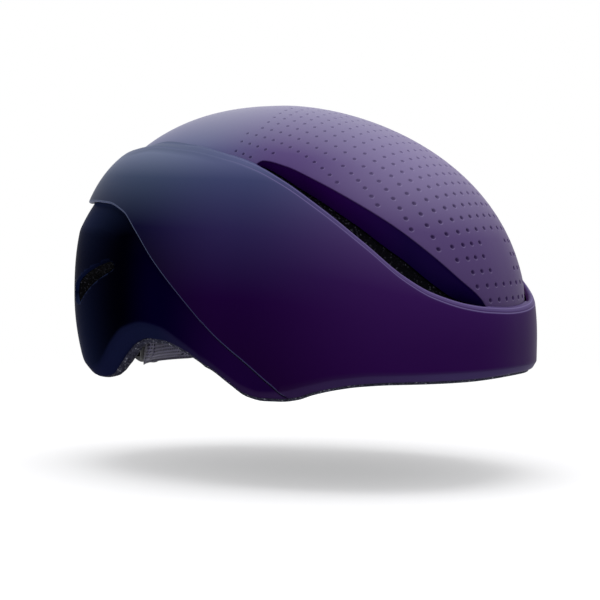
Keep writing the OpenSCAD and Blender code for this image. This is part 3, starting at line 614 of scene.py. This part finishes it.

# Dimpled tiles: rings from the tile's border in to a dimple's floor. Dimples grow smaller up the
# crown; their painted shade fades up the crown and deepens on the sides further back.
held = np.argwhere(dimpled).ravel()
centre, tier_angle, normal = mid[held], mid_angle[held], dome_normal(mid[held])
radius = np.hypot(centre[:, 1] - AXIS[0], centre[:, 2] - AXIS[1])[:, None]
spot = np.stack([cc, rr], -1)[held, None] + border
angle = row_angle(spot[..., 1])
edge_points = on_dome(column_pitch(spot[..., 0], angle).ravel(), angle.ravel())
rings = [edge_points.reshape(len(held), AROUND, 3)]
spin = np.arctan2(border[:, 1], border[:, 0])
share = 1 - 0.28 * smooth((tier_angle - 22) / 40)[:, None]
lean = np.sqrt(np.maximum(normal[:, 2] ** 2 + normal[:, 1] ** 2, 0.3))[:, None]
for size, sunk in RINGS:
    size, sunk = size * share, sunk * share[..., None]
    x = centre[:, :1] + size * np.cos(spin) * lean
    angle = tier_angle[:, None] + np.degrees(size * np.sin(spin) / radius)
    flat = on_dome(x.ravel(), angle.ravel()).reshape(len(held), AROUND, 3)
    rings.append(flat - normal[:, None] * sunk)
rings.append((centre - normal * DIMPLE_DEEP * share)[:, None])
tile_points = np.concatenate(rings, 1)
i = np.arange(AROUND)
j = (i + 1) % AROUND
fans = []
for first in AROUND * np.arange(len(RINGS)):
    after = first + AROUND
    fans += [np.stack([i + first, j + first, j + after], -1),
             np.stack([i + first, j + after, i + after], -1)]
fans.append(np.stack([i + after, j + after, np.full(AROUND, after + AROUND)], -1))
count = len(plain_points)
starts = np.arange(len(held))[:, None, None] * tile_points.shape[1]
triangles.append((starts + np.concatenate(fans) + count).reshape(-1, 3))
points = np.concatenate([plain_points, tile_points.reshape(-1, 3)])


def ring_values(values, end):
    """Values of a tile's points: 0 on its border, a row for each ring, and end on its floor."""
    return np.concatenate([np.zeros(AROUND), values.ravel(), [end]])


shade = ring_values(np.array(SHADED)[:, None] * (0.8 + 0.2 * np.sin(spin)), 1)
lit = ring_values(np.array(LIT)[:, None] * np.maximum(-np.sin(spin), 0), 0)
dimple_shade_share = 1 - 0.72 * smooth((tier_angle - 16) / 22)
dimple_shade_share += 0.4 * smooth((np.abs(centre[:, 0]) - 52) / 12) * smooth((centre[:, 1] + 62) / 20)
dimple_shade_glint = np.concatenate([np.zeros(count), (dimple_shade_share[:, None] * shade - 0.3 * lit).ravel()])

# Shared borders become one point each
_, first, same = np.unique(np.round(points * 50).astype(int), axis=0, return_index=True,
                           return_inverse=True)
points, dimple_shade_glint, triangles = points[first], dimple_shade_glint[first], same.ravel()[np.concatenate(triangles)]
a, b, c = triangles.T
triangles = triangles[(a != b) & (b != c) & (a != c)]

# The skin is cut off along the dome's edge: a triangle across it keeps the part above
over = points[:, 2] - dome_edge(dome_turn(points))
over = np.where(np.abs(over) < 0.02, 0.02, over)
keep = over[triangles] > 0
whole = triangles[keep.all(1)]
crossing = triangles[keep.any(1) & ~keep.all(1)]
flags = over[crossing] > 0
one = flags.sum(1) == 1
lead = np.where(one, flags.argmax(1), (~flags).argmax(1))
p0, p1, p2 = (crossing[np.arange(len(lead)), (lead + k) % 3] for k in range(3))
cuts = np.concatenate([np.stack([p0, p1], -1), np.stack([p0, p2], -1)])
ends, cut_at = np.unique(np.sort(cuts, 1), axis=0, return_inverse=True)
t = (over[ends[:, 0]] / (over[ends[:, 0]] - over[ends[:, 1]]))[:, None]
b, c = len(points) + cut_at.ravel().reshape(2, -1)
skin_faces = np.concatenate([whole, np.stack([p0, b, c], -1)[one], np.stack([b, p1, p2], -1)[~one],
                             np.stack([b, p2, c], -1)[~one]])
edge_pairs = np.where(one[:, None], np.stack([b, c], -1), np.stack([c, b], -1))
points = np.concatenate([points, points[ends[:, 0]] * (1 - t) + points[ends[:, 1]] * t])
dimple_shade_glint = np.concatenate([dimple_shade_glint, np.zeros(len(ends))])
used, back_to = np.unique(np.concatenate([skin_faces.ravel(), edge_pairs.ravel()]),
                          return_inverse=True)
points, dimple_shade_glint = points[used], dimple_shade_glint[used]
edge_pairs = back_to[skin_faces.size:].reshape(-1, 2)
skin_faces = back_to[:skin_faces.size].reshape(-1, 3)


# Share of the vent's height that the dome's wall takes, by angle from the front
wall_share = curve((12, 0.8), (20, 0.8), (28, 0.68), (38, 0.54), (46, 0.55), (60, 0.7), (68, 0.86))


def vent_wall(a):
    """How far the dome's edge turns down into the vent, half a millimetre and a share of its
    height, and how far in, a millimetre and a part of its height up to 7 mm."""
    return wall_share(a) * vent(a) + 0.5, np.minimum(7, 0.6 * vent(a)) + 1


def under_dome(a, edge, t, inside):
    """Point behind the dome's skin: t is 0 three millimetres above its edge and 1 at the crown, and
    the angle up from the axis grows evenly with t."""
    tall = DOME["top"] - AXIS[1] - inside
    climb = np.degrees(np.arcsin((edge + 3 - AXIS[1]) / tall))
    return skin(DOME, a, AXIS[1] + tall * np.sin(np.radians(climb + (90 - climb) * t)), inside)


# From the edge the shell rounds over, runs down and in as the vent's wall, and comes back up inside
ROLL = 0.9
outer_count = len(points)
loop = np.unique(edge_pairs)
turned = dome_turn(points[loop])
edge, (drop, tuck_in) = dome_edge(turned), vent_wall(turned)
rolled = ROLL * np.minimum(drop, 1)
chain = [skin(DOME, turned, edge - rolled * math.sin(t), ROLL * (1 - math.cos(t)))
         for t in np.radians((22.5, 45, 67.5, 90))]
chain += [skin(DOME, turned, edge - rolled - (drop - rolled) * t, ROLL + (tuck_in - ROLL) * t)
          for t in (0.15, 0.35, 0.6, 0.85, 1)]
chain.append(skin(DOME, turned, edge - drop + 1.2, tuck_in + WALL))
chain += [under_dome(turned, edge, t, WALL) for t in np.linspace(0, 0.97, 12)]
strip = np.stack(chain)
spot_of = np.full(outer_count, -1)
spot_of[loop] = np.arange(len(loop))
a, b = spot_of[edge_pairs].T
apex = outer_count + strip.size // 3
starts = np.concatenate([loop[None], np.arange(outer_count, apex).reshape(len(strip), -1)])
walls = np.concatenate([np.stack([first[b], first[a], after[a], after[b]], -1)
                        for first, after in zip(starts, starts[1:])])
cap = np.stack([starts[-1][b], starts[-1][a], np.full(len(a), apex)], -1)
points = np.concatenate([points, strip.reshape(-1, 3), [[0, AXIS[0], DOME["top"] - WALL]]])

# Marks for the paint: the dark wall, the slope of the skin for the painted reflection, and the
# dimples' painted shade and highlight
inner_count = len(points) - outer_count
wall_rows = np.repeat([0, 0.3, 0.8] + [1] * (len(strip) - 3), len(loop))
wall_mark = np.concatenate([np.zeros(outer_count), wall_rows, [1]])
slope = np.concatenate([dome_normal(points[:outer_count])[:, 2], np.full(inner_count, 0.4)])
dimple_shade_glint = np.concatenate([dimple_shade_glint, np.zeros(inner_count)])
crown = solid("dome_skin", points, [skin_faces, walls, cap],
              dict(slope=slope, wall=wall_mark, dimple_shade_glint=dimple_shade_glint), crisp=50)
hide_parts("crown_shell")
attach(crown, "helmet")
# Slope colours of the dome: two-tone paint, lavender where it faces up as painted reflection
dome_tone_and_sheen = tone_and_sheen_group(
    "dome_tone_and_sheen",
    (-0.105, {-0.05: (68, 50, 92), 0.45: (92, 74, 122), 1: (160, 150, 190)}),
    (-0.03, {0.4: (62, 38, 92), 0.72: (92, 74, 126), 1: (152, 146, 180)}),
    (0.04, {0.4: (46, 54, 86), 0.72: (94, 102, 140), 1: (156, 154, 180)}))
satin, shader, add, join = new_material("dome_satin", Roughness=0.4, IOR=1.3,
                                        Specular_IOR_Level=0.1, Specular_Tint=(0.7, 0.5, 1, 1))
colour = use_group(satin, dome_tone_and_sheen).outputs[0]
# Dimple mark: above 0 is painted shade, below 0 a painted highlight on its lower lip
mask = add("Attribute", attribute_name="dimple_shade_glint")
for strength, shade in ((0.85, linear(32, 14, 60)), (-1, linear(188, 180, 214))):
    part = add("Math", {1: strength}, operation="MULTIPLY", use_clamp=True)
    join(mask.outputs["Fac"], part.inputs[0])
    colour = blend_in(add, join, colour, part.outputs[0], shade)
mask = add("Attribute", attribute_name="wall")
wall_colour = blend_in(add, join, linear(20, 3, 60), along_helmet(add, join, -0.1, -0.06),
                       linear(42, 3, 78))
colour = blend_in(add, join, colour, mask.outputs["Fac"], wall_colour)
join(colour, shader.inputs["Base Color"])
lacquer(satin, shader, add, join)
crown.data.materials.append(satin)

# ---- Rear panel ----
# The navy gloss panel behind the ears, moulded and bonded like the other shells, set back
# under the wrap shell's edge, with painted reflection where it faces up and, at the back, where
# it faces down. Two slanted exhaust ports go through it and the foam.
SOFT = 0.9  # the crease above its band is softer than the wrap shell's


def tube_faces(rows):
    """Quads of a tube of rings, and one face across each end."""
    end = np.arange(len(rows[0]))[None]
    return [ring_faces(rows), end[:, ::-1], end + (len(rows) - 1) * end.size]


around = np.concatenate([[72.3], np.arange(72.75, 287.5, 0.5), [287.7]])
low = rim(around) + foot_shows(around)
top = np.maximum(crease(around) - 0.4, low + 0.6)
kink = np.minimum(np.maximum(band_top(around), low + 0.2), top - 0.2)
# Rows up its face from the rounded lower edge, and down its back
rows = [set_in(around, np.minimum(low + up, top), inside, SOFT)
        for up, inside in ((0, 0.9), (0.15, 0.5), (0.5, 0.15), (1.0, 0))]
rows += [set_in(around, low + (kink - low) * t, 0, SOFT)
         for t in (0.3, 0.625, 0.95, 0.965, 0.9825, 1)]
rows += [set_in(around, kink + (top - kink) * t, 0, SOFT) for t in np.linspace(0, 1, 44)[1:]]
rows += [set_in(around, top + (kink - top) * t, WALL) for t in np.linspace(0, 1, 16)]
rows.append(set_in(around, low, WALL))
columns = np.stack(rows, 1)
points = columns.reshape(-1, 3)
height = np.repeat(np.minimum(band_top(around), top), len(rows))
rear = solid("rear_panel_skin", points, tube_faces(columns),
             dict(band=smooth((height + 1.2 - points[:, 2]) / 2.4)))


def port_outline(side):
    """Outline of an exhaust port seen from behind: two circles, the wide one low, and the lines
    that touch both."""
    low_end, high_end, big, small = np.array([60.1, 53]), np.array([83.2, 69.5]), 7, 3.5
    run = high_end - low_end
    lean, part = math.atan2(run[1], run[0]), math.acos((big - small) / np.hypot(*run))
    first = np.linspace(lean + part, lean + 2 * math.pi - part, 33)
    last = np.linspace(lean - part, lean + part, 17)
    ends = [middle + size * np.stack([np.cos(turn), np.sin(turn)], -1)
            for middle, size, turn in ((low_end, big, first), (high_end, small, last))]
    return np.concatenate(ends) * [side, 1]


def cut_ports(made):
    """Cuts both exhaust ports through an object and applies the cut."""
    for side in (-1, 1):
        ring = [np.insert(port_outline(side), 1, y, axis=1) for y in (59.2, 153)]
        cutter = solid("port_cutter", np.concatenate(ring), tube_faces(ring))
        cut = made.modifiers.new("port", "BOOLEAN")
        cut.operation, cut.object, cut.solver = "DIFFERENCE", cutter, "EXACT"
        bpy.context.view_layer.update()
        finished = made.evaluated_get(bpy.context.evaluated_depsgraph_get())
        fresh = bpy.data.meshes.new_from_object(finished)
        made.modifiers.clear()
        made.data = fresh
        bpy.data.objects.remove(cutter)
    made.data.shade_smooth()
    made.data.set_sharp_from_angle(angle=math.radians(40))


cut_ports(rear)
mark_slope(rear)
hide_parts("rear_shell")
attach(rear, "helmet")
gloss, shader, add, join = new_material("rear_gloss", Roughness=0.3, IOR=1.2,
                                        Specular_IOR_Level=0.002, Specular_Tint=(0.3, 0.35, 1, 1))
# Slope colours: painted reflection facing up, and at the back a painted bluish glow facing down
rear_tone_and_sheen = tone_and_sheen_group(
    "rear_tone_and_sheen",
    (-0.02, {-0.25: (28, 4, 54), 0.3: (28, 6, 56), 1: (58, 40, 90)}),
    (0.032, {-0.25: (4, 0, 34), 0.3: (4, 0, 30), 1: (46, 42, 78)}),
    (0.062, {-0.25: (4, 6, 20), 0: (0, 0, 6), 0.4: (0, 0, 6), 1: (34, 44, 76)}),
    (0.118, {-0.25: (16, 24, 56), 0.1: (8, 12, 34), 1: (40, 50, 86)}))
# The band takes the two-tone chamfer colour with its painted highlight
mask = add("Attribute", attribute_name="band")
colour = blend_in(add, join, use_group(gloss, rear_tone_and_sheen).outputs[0], mask.outputs["Fac"],
                  use_group(gloss, band_highlight_colours).outputs[0])
join(colour, shader.inputs["Base Color"])
lacquer(gloss, shader, add, join)
rear.data.materials.append(gloss)

# ---- Foam liner ----
# Expanded polystyrene, moulded as one block that fills the shells, charcoal, with its beads
# showing in the vents, inside and along the bare line under the shells. Painted shade makes it
# darker in the vents and under the shells than along the bare line.
COVER = WALL + 1.5 * SEAT  # from a shell's skin to the foam
SILL = 16  # height above the rim at which the hollow for the head begins
HOLLOW = dict(wide=80, long=112, tall=86, back=6, waist=50)  # half sizes and middle of the hollow
around = np.arange(0, 360, 1.0)
foot, edge, (gap, tucked) = rim(around), dome_edge(around), vent_wall(around)
hi = np.minimum(seam(around) - 5, edge - 0.6 - np.where(vent(around) > 0, 0, gap))
kink = np.maximum(band_top(around), foot + 3.2)
b = fold(around)
half_way = (hi + kink) / 2
split = np.where(b > CREASE_START, crease(around),
                 half_way + (kink + 3 - half_way) * smooth((b - 50) / 22))
# Rows from the crown down to the vent, its shelf, the side down to the rim, and the foot
rows = [under_dome(around, edge, t, COVER) for t in np.linspace(8, 0, 17) / 9]
rows.append(skin(DOME, around, edge - gap + 1, tucked + COVER + 0.9))
rows.append(skin(DOME, around, edge - gap - 0.6, tucked + 0.8))
shelf = skin(WRAP, around, hi, COVER + 1.2 + (6.8 - COVER) * smooth(vent(around) / 5))
rows += [(rows[-1] + shelf) / 2, shelf]
rows += [set_in(around, hi + (split - hi) * t, COVER) for t in np.linspace(0, 0.875, 8)]
rows += [set_in(around, split + (kink - split) * t, COVER) for t in np.linspace(0, 1, 9)]
skirt_row = len(rows)
shows = foot_shows(around)
z = foot + shows - 0.1
rows.append(skin(WRAP, around, z, COVER + band(around, z)))
for up, inside in ((0.92 * shows, 0.8), (0.6 * shows, 0.8), (0.3 * shows, 1.1), (0.1 * shows, 1.8),
                   (0, 2.8), (0.3, 5), (2.2, 8), (6, 11.5)):
    rows.append(skin(WRAP, around, foot + up, inside + band(around, foot)))
foot_row = len(rows)


def hollow_half(inside):
    """Half width, half length and height of the hollow's ellipsoid, less inside."""
    return HOLLOW["wide"] - inside, HOLLOW["long"] - inside, HOLLOW["tall"] - inside


def cavity(a, z, inside=0):
    """Point of the hollow's wall: upright low down, half an ellipsoid above its waist."""
    wide, long, tall = hollow_half(inside)
    s = np.sqrt(np.maximum(1 - (np.maximum(z - HOLLOW["waist"], 0) / tall) ** 2, 0))
    a = np.radians(a)
    return np.stack(np.broadcast_arrays(
        wide * s * np.sin(a), HOLLOW["back"] - long * s * np.cos(a), z), -1)


above = foot + SILL - HOLLOW["waist"]
start = np.where(above < 0, above, np.degrees(np.arcsin(np.clip(above / HOLLOW["tall"], -1, 1))))
for t in np.linspace(0, 0.96, 24):
    climb = start + (90 - start) * t
    up = np.where(climb < 0, climb, HOLLOW["tall"] * np.sin(np.radians(climb)))
    rows.append(cavity(around, HOLLOW["waist"] + up))
n, m = len(rows), len(around)
points = np.concatenate(rows + [[[0, AXIS[0], DOME["top"] - COVER],
                                 [0, HOLLOW["back"], HOLLOW["waist"] + HOLLOW["tall"]]]])
i = np.arange(m)
j = (i + 1) % m
caps = [np.stack([j, i, np.full(m, n * m)], -1),
        np.stack([i + (n - 1) * m, j + (n - 1) * m, np.full(m, n * m + 1)], -1)]
# Painted shade on the foam: darkest in the vents and under the shells, half way inside the
# hollow, and lit along the foot
foam_lit_row = np.full(n, 0.45)
foam_lit_row[:skirt_row] = 0
foam_lit_row[skirt_row:foot_row - 1] = 1
liner = solid("foam_liner", points, [ring_faces(rows)] + caps,
              dict(light=np.concatenate([np.repeat(foam_lit_row, m), [0, 0.45]])), crisp=32)
cut_ports(liner)
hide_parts("eps_liner")
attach(liner, "helmet")

# Grain of the pressed beads: a dark palette for foam in painted shade, a light one for lit foam,
# and the height for the bump
beads, add, join, out = new_group("foam_beads", Dark="Color", Light="Color", Height="Float")
where, grey, lines = add("TexCoord"), add("SeparateColor"), add("MapRange", {"From Max": 0.2})
bead_size = {"Scale": 900}
cells = add("TexVoronoi", bead_size)
seams = add("TexVoronoi", bead_size, feature="DISTANCE_TO_EDGE")
for cell in (cells, seams):
    join(where.outputs["Object"], cell.inputs["Vector"])
join(cells.outputs["Color"], grey.inputs[0])
join(seams.outputs["Distance"], lines.inputs["Value"])
for name, first, most, last, gap_colour in (
        ("Dark", (4, 4, 8), (12, 11, 17), (62, 62, 72), (2, 2, 5)),
        ("Light", (46, 46, 62), (80, 80, 98), (150, 150, 162), (26, 26, 38))):
    tone = ramp(add, join, grey.outputs["Red"], {0: first, 0.82: most, 1: last})
    join(blend_in(add, join, linear(*gap_colour), lines.outputs[0], tone), out.inputs[name])
join(lines.outputs[0], out.inputs["Height"])
foam, shader, add, join = new_material("foam_grain", Roughness=0.8, IOR=1.3,
                                       Specular_IOR_Level=0.08)
grain, mask = use_group(foam, beads), add("Attribute", attribute_name="light")
colour = blend_in(add, join, grain.outputs["Dark"], mask.outputs["Fac"], grain.outputs["Light"])
join(colour, shader.inputs["Base Color"])
raise_by(shader, add, join, grain.outputs["Height"], 0.5, 0.0004)
liner.data.materials.append(foam)

# ---- Pads ----
# Soft foam under knitted mesh, grey: each is a crowned pillow with a thin welded border, and the
# brow pad is welded across into cells. They lie on hook dots on the hollow's wall and roof, and
# the cradle's pad lines its yoke. Modelled directly, at rest against the foam.
PAD_SEAT, PAD_EDGE, PAD_THICK = 1.3, 0.8, 6  # lift on the hook dots, border and crown
PAD_BORDER, PAD_RISE = 1.4, 7.5  # width of the flat border, and of the slope to the crown
WELD_DEEP, WELD_WIDE = 0.72, 1.5  # share of the crown that a weld takes away, and its width


def lay_uv(made, plan):
    """UV map from a place in millimetres per point, for patterns that follow the surface."""
    corner = np.empty(len(made.data.loops), np.int32)
    made.data.loops.foreach_get("vertex_index", corner)
    layer = made.data.uv_layers.new(name="plan")
    layer.data.foreach_set("uv", (plan[corner] / 1000).ravel().astype(np.float32))


def pillow(name, node, place, half, ends, thick=PAD_THICK, welds=()):
    """Crowned pad on a wall: place(u, w, h) is the point at u from -1 to 1 along it, w millimetres
    across and h off its seat; ends(u) is its half width's share; welds are seams across it. It
    rises from its border as one minus a power of the distance left to its full height."""
    u = np.sin(np.linspace(-1, 1, 97) * np.pi / 2)[:, None]
    v = np.sin(np.linspace(-1, 1, 33) * np.pi / 2)[None]
    wide = np.maximum(ends(np.abs(u)), 0.03) * half[1]
    across = v * wide
    from_end, from_side = (1 - np.abs(u)) * half[0], (1 - np.abs(v)) * wide
    away = 1 / np.sqrt(1 / (from_end + 0.01) ** 2 + 1 / (from_side + 0.01) ** 2)
    full = 1 - (1 - np.clip((away - PAD_BORDER) / PAD_RISE, 0, 1)) ** 2.4
    for weld in welds:
        full = full * (1 - WELD_DEEP * np.exp(-((u - weld) * half[0] / WELD_WIDE) ** 2))
    skirt = np.clip(away / 1.2, 0, 1) ** 0.5
    height = PAD_EDGE * (0.35 + 0.65 * skirt) + (thick - PAD_EDGE) * full
    far = np.broadcast_to(u, across.shape)
    under, over = place(far, across, np.zeros_like(across)), place(far, across, height)
    rows = np.concatenate([under, over[:, ::-1]], 1)
    weld_mark = np.concatenate([np.ones_like(full), 1 - np.clip(full[:, ::-1] * 3, 0, 1)], 1)
    made = solid(name, rows.reshape(-1, 3), tube_faces(rows), dict(weld=weld_mark.ravel()),
                 crisp=70)
    plan = np.stack([far * half[0], across], -1)
    lay_uv(made, np.concatenate([plan, plan[:, ::-1]], 1).reshape(-1, 2))
    made.data.materials.append(knit)
    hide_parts(node)
    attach(made, frame["nodes"][node]["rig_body"])


def knit_cells(add, join, lay):
    """Round holes in a square grid of loops: the height of the loops and the mask of the holes."""
    cells = add("TexVoronoi", {"Scale": 500, "Randomness": 0}, voronoi_dimensions="2D")
    hole = add("MapRange", {"From Min": 0.26, "From Max": 0.38, "To Min": 1, "To Max": 0})
    loops = add("Math", {0: 1}, operation="SUBTRACT")
    join(lay, cells.inputs["Vector"])
    join(cells.outputs["Distance"], hole.inputs["Value"])
    join(hole.outputs[0], loops.inputs[1])
    return loops.outputs[0], hole.outputs[0]


def twill_ribs(add, join, lay):
    """Two sets of slanting ribs, multiplied: their height and the mask of the gaps between them."""
    both = add("Math", operation="MULTIPLY")
    for k, lean in enumerate((35, -35)):
        turned = add("Mapping", {"Rotation": (0, 0, math.radians(lean))})
        wave = add("TexWave", {"Scale": 260}, wave_type="BANDS", bands_direction="X")
        join(lay, turned.inputs[0])
        join(turned.outputs[0], wave.inputs["Vector"])
        join(wave.outputs["Fac"], both.inputs[k])
    hole = add("MapRange", {"From Max": 0.25, "To Min": 1, "To Max": 0})
    join(both.outputs[0], hole.inputs["Value"])
    return both.outputs[0], hole.outputs[0]


def cloth(name, weave, thread, hollow, depth, weld=None):
    """Fabric on the UV map: threads of one colour, darker holes between them, raised by a bump.
    weld is the share of the thread's colour that its welded seams keep."""
    group, add, join, out = new_group(name + "_weave", Height="Float", Hole="Float")
    for key, output in zip(("Height", "Hole"), weave(add, join, add("UVMap").outputs[0])):
        join(output, out.inputs[key])
    made, shader, add, join = new_material(name, Roughness=0.9, Specular_IOR_Level=0.2,
                                           Sheen_Weight=0.25)
    woven, where, fuzz = use_group(made, group), add("TexCoord"), add("TexNoise", {"Scale": 900})
    join(where.outputs["Object"], fuzz.inputs["Vector"])
    thread = np.array(thread)
    tone = ramp(add, join, fuzz.outputs["Fac"], {0.35: thread * 0.88, 0.65: thread * 1.1})
    colour = blend_in(add, join, tone, woven.outputs["Hole"], linear(*hollow))
    if weld:
        mask = add("Attribute", attribute_name="weld")
        part = add("Math", {1: weld}, operation="MULTIPLY")
        join(mask.outputs["Fac"], part.inputs[0])
        colour = blend_in(add, join, colour, part.outputs[0], linear(*(thread * weld)))
    join(colour, shader.inputs["Base Color"])
    raise_by(shader, add, join, woven.outputs["Height"], 0.6, depth / 1000)
    return made


knit = cloth("pad_knit", knit_cells, (136, 132, 160), (46, 44, 60), 0.35, weld=0.55)


def square_ends(u):
    """Share of a pad's half width: a superellipse, nearly square."""
    return (1 - u ** 7) ** 0.28


def stadium(u):
    """Share of a pad's half width: straight for 24 of 39 mm, then a half circle of 15 mm."""
    return np.sqrt(np.maximum(1 - (np.maximum(u * 39 - 24, 0) / 15) ** 2, 0))


def roof_point(x, y, inside):
    """Point of the hollow's roof over a place in plan, on its ellipsoid."""
    wide, long, tall = hollow_half(inside)
    s = 1 - (x / wide) ** 2 - ((y - HOLLOW["back"]) / long) ** 2
    return np.stack([x, y, HOLLOW["waist"] + tall * np.sqrt(np.maximum(s, 0))], -1)


def on_saddle(u, w, h):
    """Point of the cradle's pad, h in from its yoke, on an upright cylinder."""
    x = 39 * u
    return np.stack([x, 46.3 + np.sqrt((50.1 - h) ** 2 - x * x), 24 + w], -1)


pillow("brow_pad_cloth", "brow_pad", lambda u, w, h: cavity(56 * u, 42 + w, PAD_SEAT + h),
       (84, 12), square_ends, welds=(-0.66, -0.33, 0, 0.33, 0.66))
for side, name in ((1, "left"), (-1, "right")):
    pillow("side_pad_%s_cloth" % name, "side_pad_" + name,
           lambda u, w, h: cavity(side * (110 + 12 * u), 82 + w, PAD_SEAT + h), (17, 10),
           square_ends)
    for end, middle, run in (("front", -43, 23), ("rear", 53, 27)):
        pillow("crown_pad_%s_%s_cloth" % (end, name), "crown_pad_%s_%s" % (end, name),
               lambda u, w, h: roof_point(side * (26 + w - 2 * u), middle + run * u, PAD_SEAT + h),
               (run, 10), square_ends)
pillow("cradle_pad_cloth", "cradle_pad", on_saddle, (42, 15), stadium, thick=5.5,
       welds=(-0.45, 0.45))

# ---- Straps ----
# Woven black webbing, 15 by 1.6 mm, laid along the hollow's wall from the anchors to the dividers
# and up the roof to the buckle. Sewn and folded in place, so it isn't free to move.
WEBBING_WIDE, WEBBING_THICK = 15, 1.6
STRAP_LIFT = 3.7  # from the hollow's wall to the middle of a strap
webbing = cloth("black_webbing", twill_ribs, (40, 40, 45), (14, 14, 17), 0.25)


def strap(name, node, path, up):
    """Flat band along a path, a superellipse in section; up is the way its face looks."""
    t = np.gradient(path, axis=0)
    w = np.cross(t, up)
    w /= np.linalg.norm(w, axis=1)[:, None]
    n = np.cross(w, t)
    n /= np.linalg.norm(n, axis=1)[:, None]
    spin = np.linspace(0, 2 * np.pi, 25)[:-1] + np.pi / 24
    across = WEBBING_WIDE / 2 * np.sign(np.cos(spin)) * np.abs(np.cos(spin)) ** 0.3
    rise = WEBBING_THICK / 2 * np.sign(np.sin(spin)) * np.abs(np.sin(spin)) ** 0.5
    rows = path[:, None] + w[:, None] * across[:, None] + n[:, None] * rise[:, None]
    made = solid(name, rows.reshape(-1, 3), tube_faces(rows), crisp=60)
    along = np.append(0, np.cumsum(np.linalg.norm(np.diff(path, axis=0), axis=1)))
    lay_uv(made, np.stack(np.broadcast_arrays(along[:, None], across), -1).reshape(-1, 2))
    made.data.materials.append(webbing)
    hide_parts(node)
    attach(made, "helmet")


def eased(path):
    """A path sampled finely, with its corners rounded by averaging neighbours; its ends stay."""
    s = np.linspace(0, len(path) - 1, 61)
    fine = np.stack([np.interp(s, np.arange(len(path)), line) for line in path.T], -1)
    for _ in range(30):
        fine[1:-1] = (fine[:-2] + 2 * fine[1:-1] + fine[2:]) / 4
    return fine


# Routes by angle and height for the front and rear straps, and by place for the chin strap, which
# leaves the divider at a height of 84.5 mm, climbs the roof and ends on the buckle
front_route = np.array([(57, 32), (57.5, 41), (63, 53), (71, 61.5), (78, 65.5)])
rear_route = np.array([(118, 39), (117.3, 46), (111, 53.5), (105, 61), (98, 65.5)])
wide, _, tall = hollow_half(STRAP_LIFT)
climb = np.append(math.asin((84.5 - HOLLOW["waist"]) / tall), np.radians((35, 42, 49, 56, 63)))
roof = np.stack([wide * np.cos(climb), np.full(6, 2), HOLLOW["waist"] + tall * np.sin(climb)], -1)
buckle_bottom = roof_point(22, 2, 0.6)[2] - 6.5
chin_route = np.concatenate([roof, [(27, 2, buckle_bottom + 2.7), (21.3, 2, buckle_bottom + 3)]])
for side, name in ((1, "left"), (-1, "right")):
    for end, route in (("front", front_route), ("rear", rear_route)):
        turned, z = eased(route).T
        path = cavity(side * turned, z, STRAP_LIFT)
        strap("%s_strap_%s_webbing" % (end, name), "%s_strap_%s" % (end, name), path,
              ([0, HOLLOW["back"], 0] - path) * [1, 1, 0])
    path = eased(chin_route) * [side, 1, 1]
    strap("chin_strap_%s_webbing" % name, "chin_strap_" + name, path,
          (path - [0, 0, HOLLOW["waist"]]) * [1, 0, 1])

# ---- Moulded plastic and metal ----
# The retention ring, dial, strap hardware, hook tape, magnets and keeper keep their solids' exact
# shapes; each gets a merged copy and its own finish, and the black nylon, lever, knob and keeper
# pieces slightly rounded edges.
moulding, add, join, out = new_group("moulded_surface", Mottle="Float", Height="Float")
where = add("TexCoord")
for name, scale in (("Mottle", 90), ("Height", 2600)):
    noise = add("TexNoise", {"Scale": scale})
    join(where.outputs["Object"], noise.inputs["Vector"])
    join(noise.outputs["Fac"], out.inputs[name])


def moulded(name, first, last, grain, **sockets):
    """Finish that wanders between two close colours, with a fine spark-eroded grain."""
    made, shader, add, join = new_material(name, **sockets)
    surface = use_group(made, moulding)
    tone = ramp(add, join, surface.outputs["Mottle"], {0.35: first, 0.65: last})
    join(tone, shader.inputs["Base Color"])
    raise_by(shader, add, join, surface.outputs["Height"], grain, 0.0001)
    return made


finishes = dict(
    black_plastic=moulded("black_nylon", (20, 20, 23), (27, 27, 31), 0.3, Roughness=0.5),
    knob_plastic=moulded("knob_rubber", (30, 30, 34), (38, 38, 43), 0.6, Roughness=0.75,
                         Specular_IOR_Level=0.3),
    lever_plastic=moulded("lever_nylon", (42, 42, 47), (52, 52, 58), 0.3, Roughness=0.45),
    pin_nylon=moulded("pin_acetal", (66, 66, 72), (78, 78, 84), 0.2, Roughness=0.35),
    pinion_nylon=moulded("pinion_acetal", (196, 196, 192), (212, 211, 205), 0.2, Roughness=0.35),
    hook_tape=moulded("hook_tape_nylon", (34, 34, 38), (46, 46, 52), 1.0, Roughness=0.95,
                      Sheen_Weight=0.3),
    magnet_plate=moulded("magnet_nickel", (176, 176, 180), (200, 200, 203), 0.15, Roughness=0.28,
                         Metallic=1.0),
    keeper_rubber=moulded("keeper_rubber_black", (14, 14, 16), (21, 21, 23), 0.6, Roughness=0.8,
                          Specular_IOR_Level=0.3))
# Radius of the rounded edges, in millimetres
rounded = dict(black_plastic=0.35, knob_plastic=0.4, lever_plastic=0.35, keeper_rubber=0.2)
for row in frame["record"]["subparts"]:
    node, kind = row["node"], row["material_slot"]
    if kind not in finishes:
        continue
    source = frame["nodes"][node]
    made = bpy.data.objects.new(node + "_finished", source.data.copy())
    bpy.context.scene.collection.objects.link(made)
    work = bmesh.new()
    work.from_mesh(made.data)
    bmesh.ops.remove_doubles(work, verts=work.verts, dist=2e-6)
    bmesh.ops.dissolve_limit(work, angle_limit=math.radians(1), verts=work.verts, edges=work.edges)
    work.to_mesh(made.data)
    work.free()
    made.data.shade_smooth()
    made.data.set_sharp_from_angle(angle=math.radians(30))
    if kind in rounded:
        bevel = made.modifiers.new("rounded_edges", "BEVEL")
        bevel.width, bevel.segments, bevel.harden_normals = rounded[kind] / 1000, 2, True
        bevel.limit_method, bevel.angle_limit = "ANGLE", math.radians(35)
    made.data.materials.clear()
    made.data.materials.append(finishes[kind])
    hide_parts(node)
    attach(made, source["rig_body"])
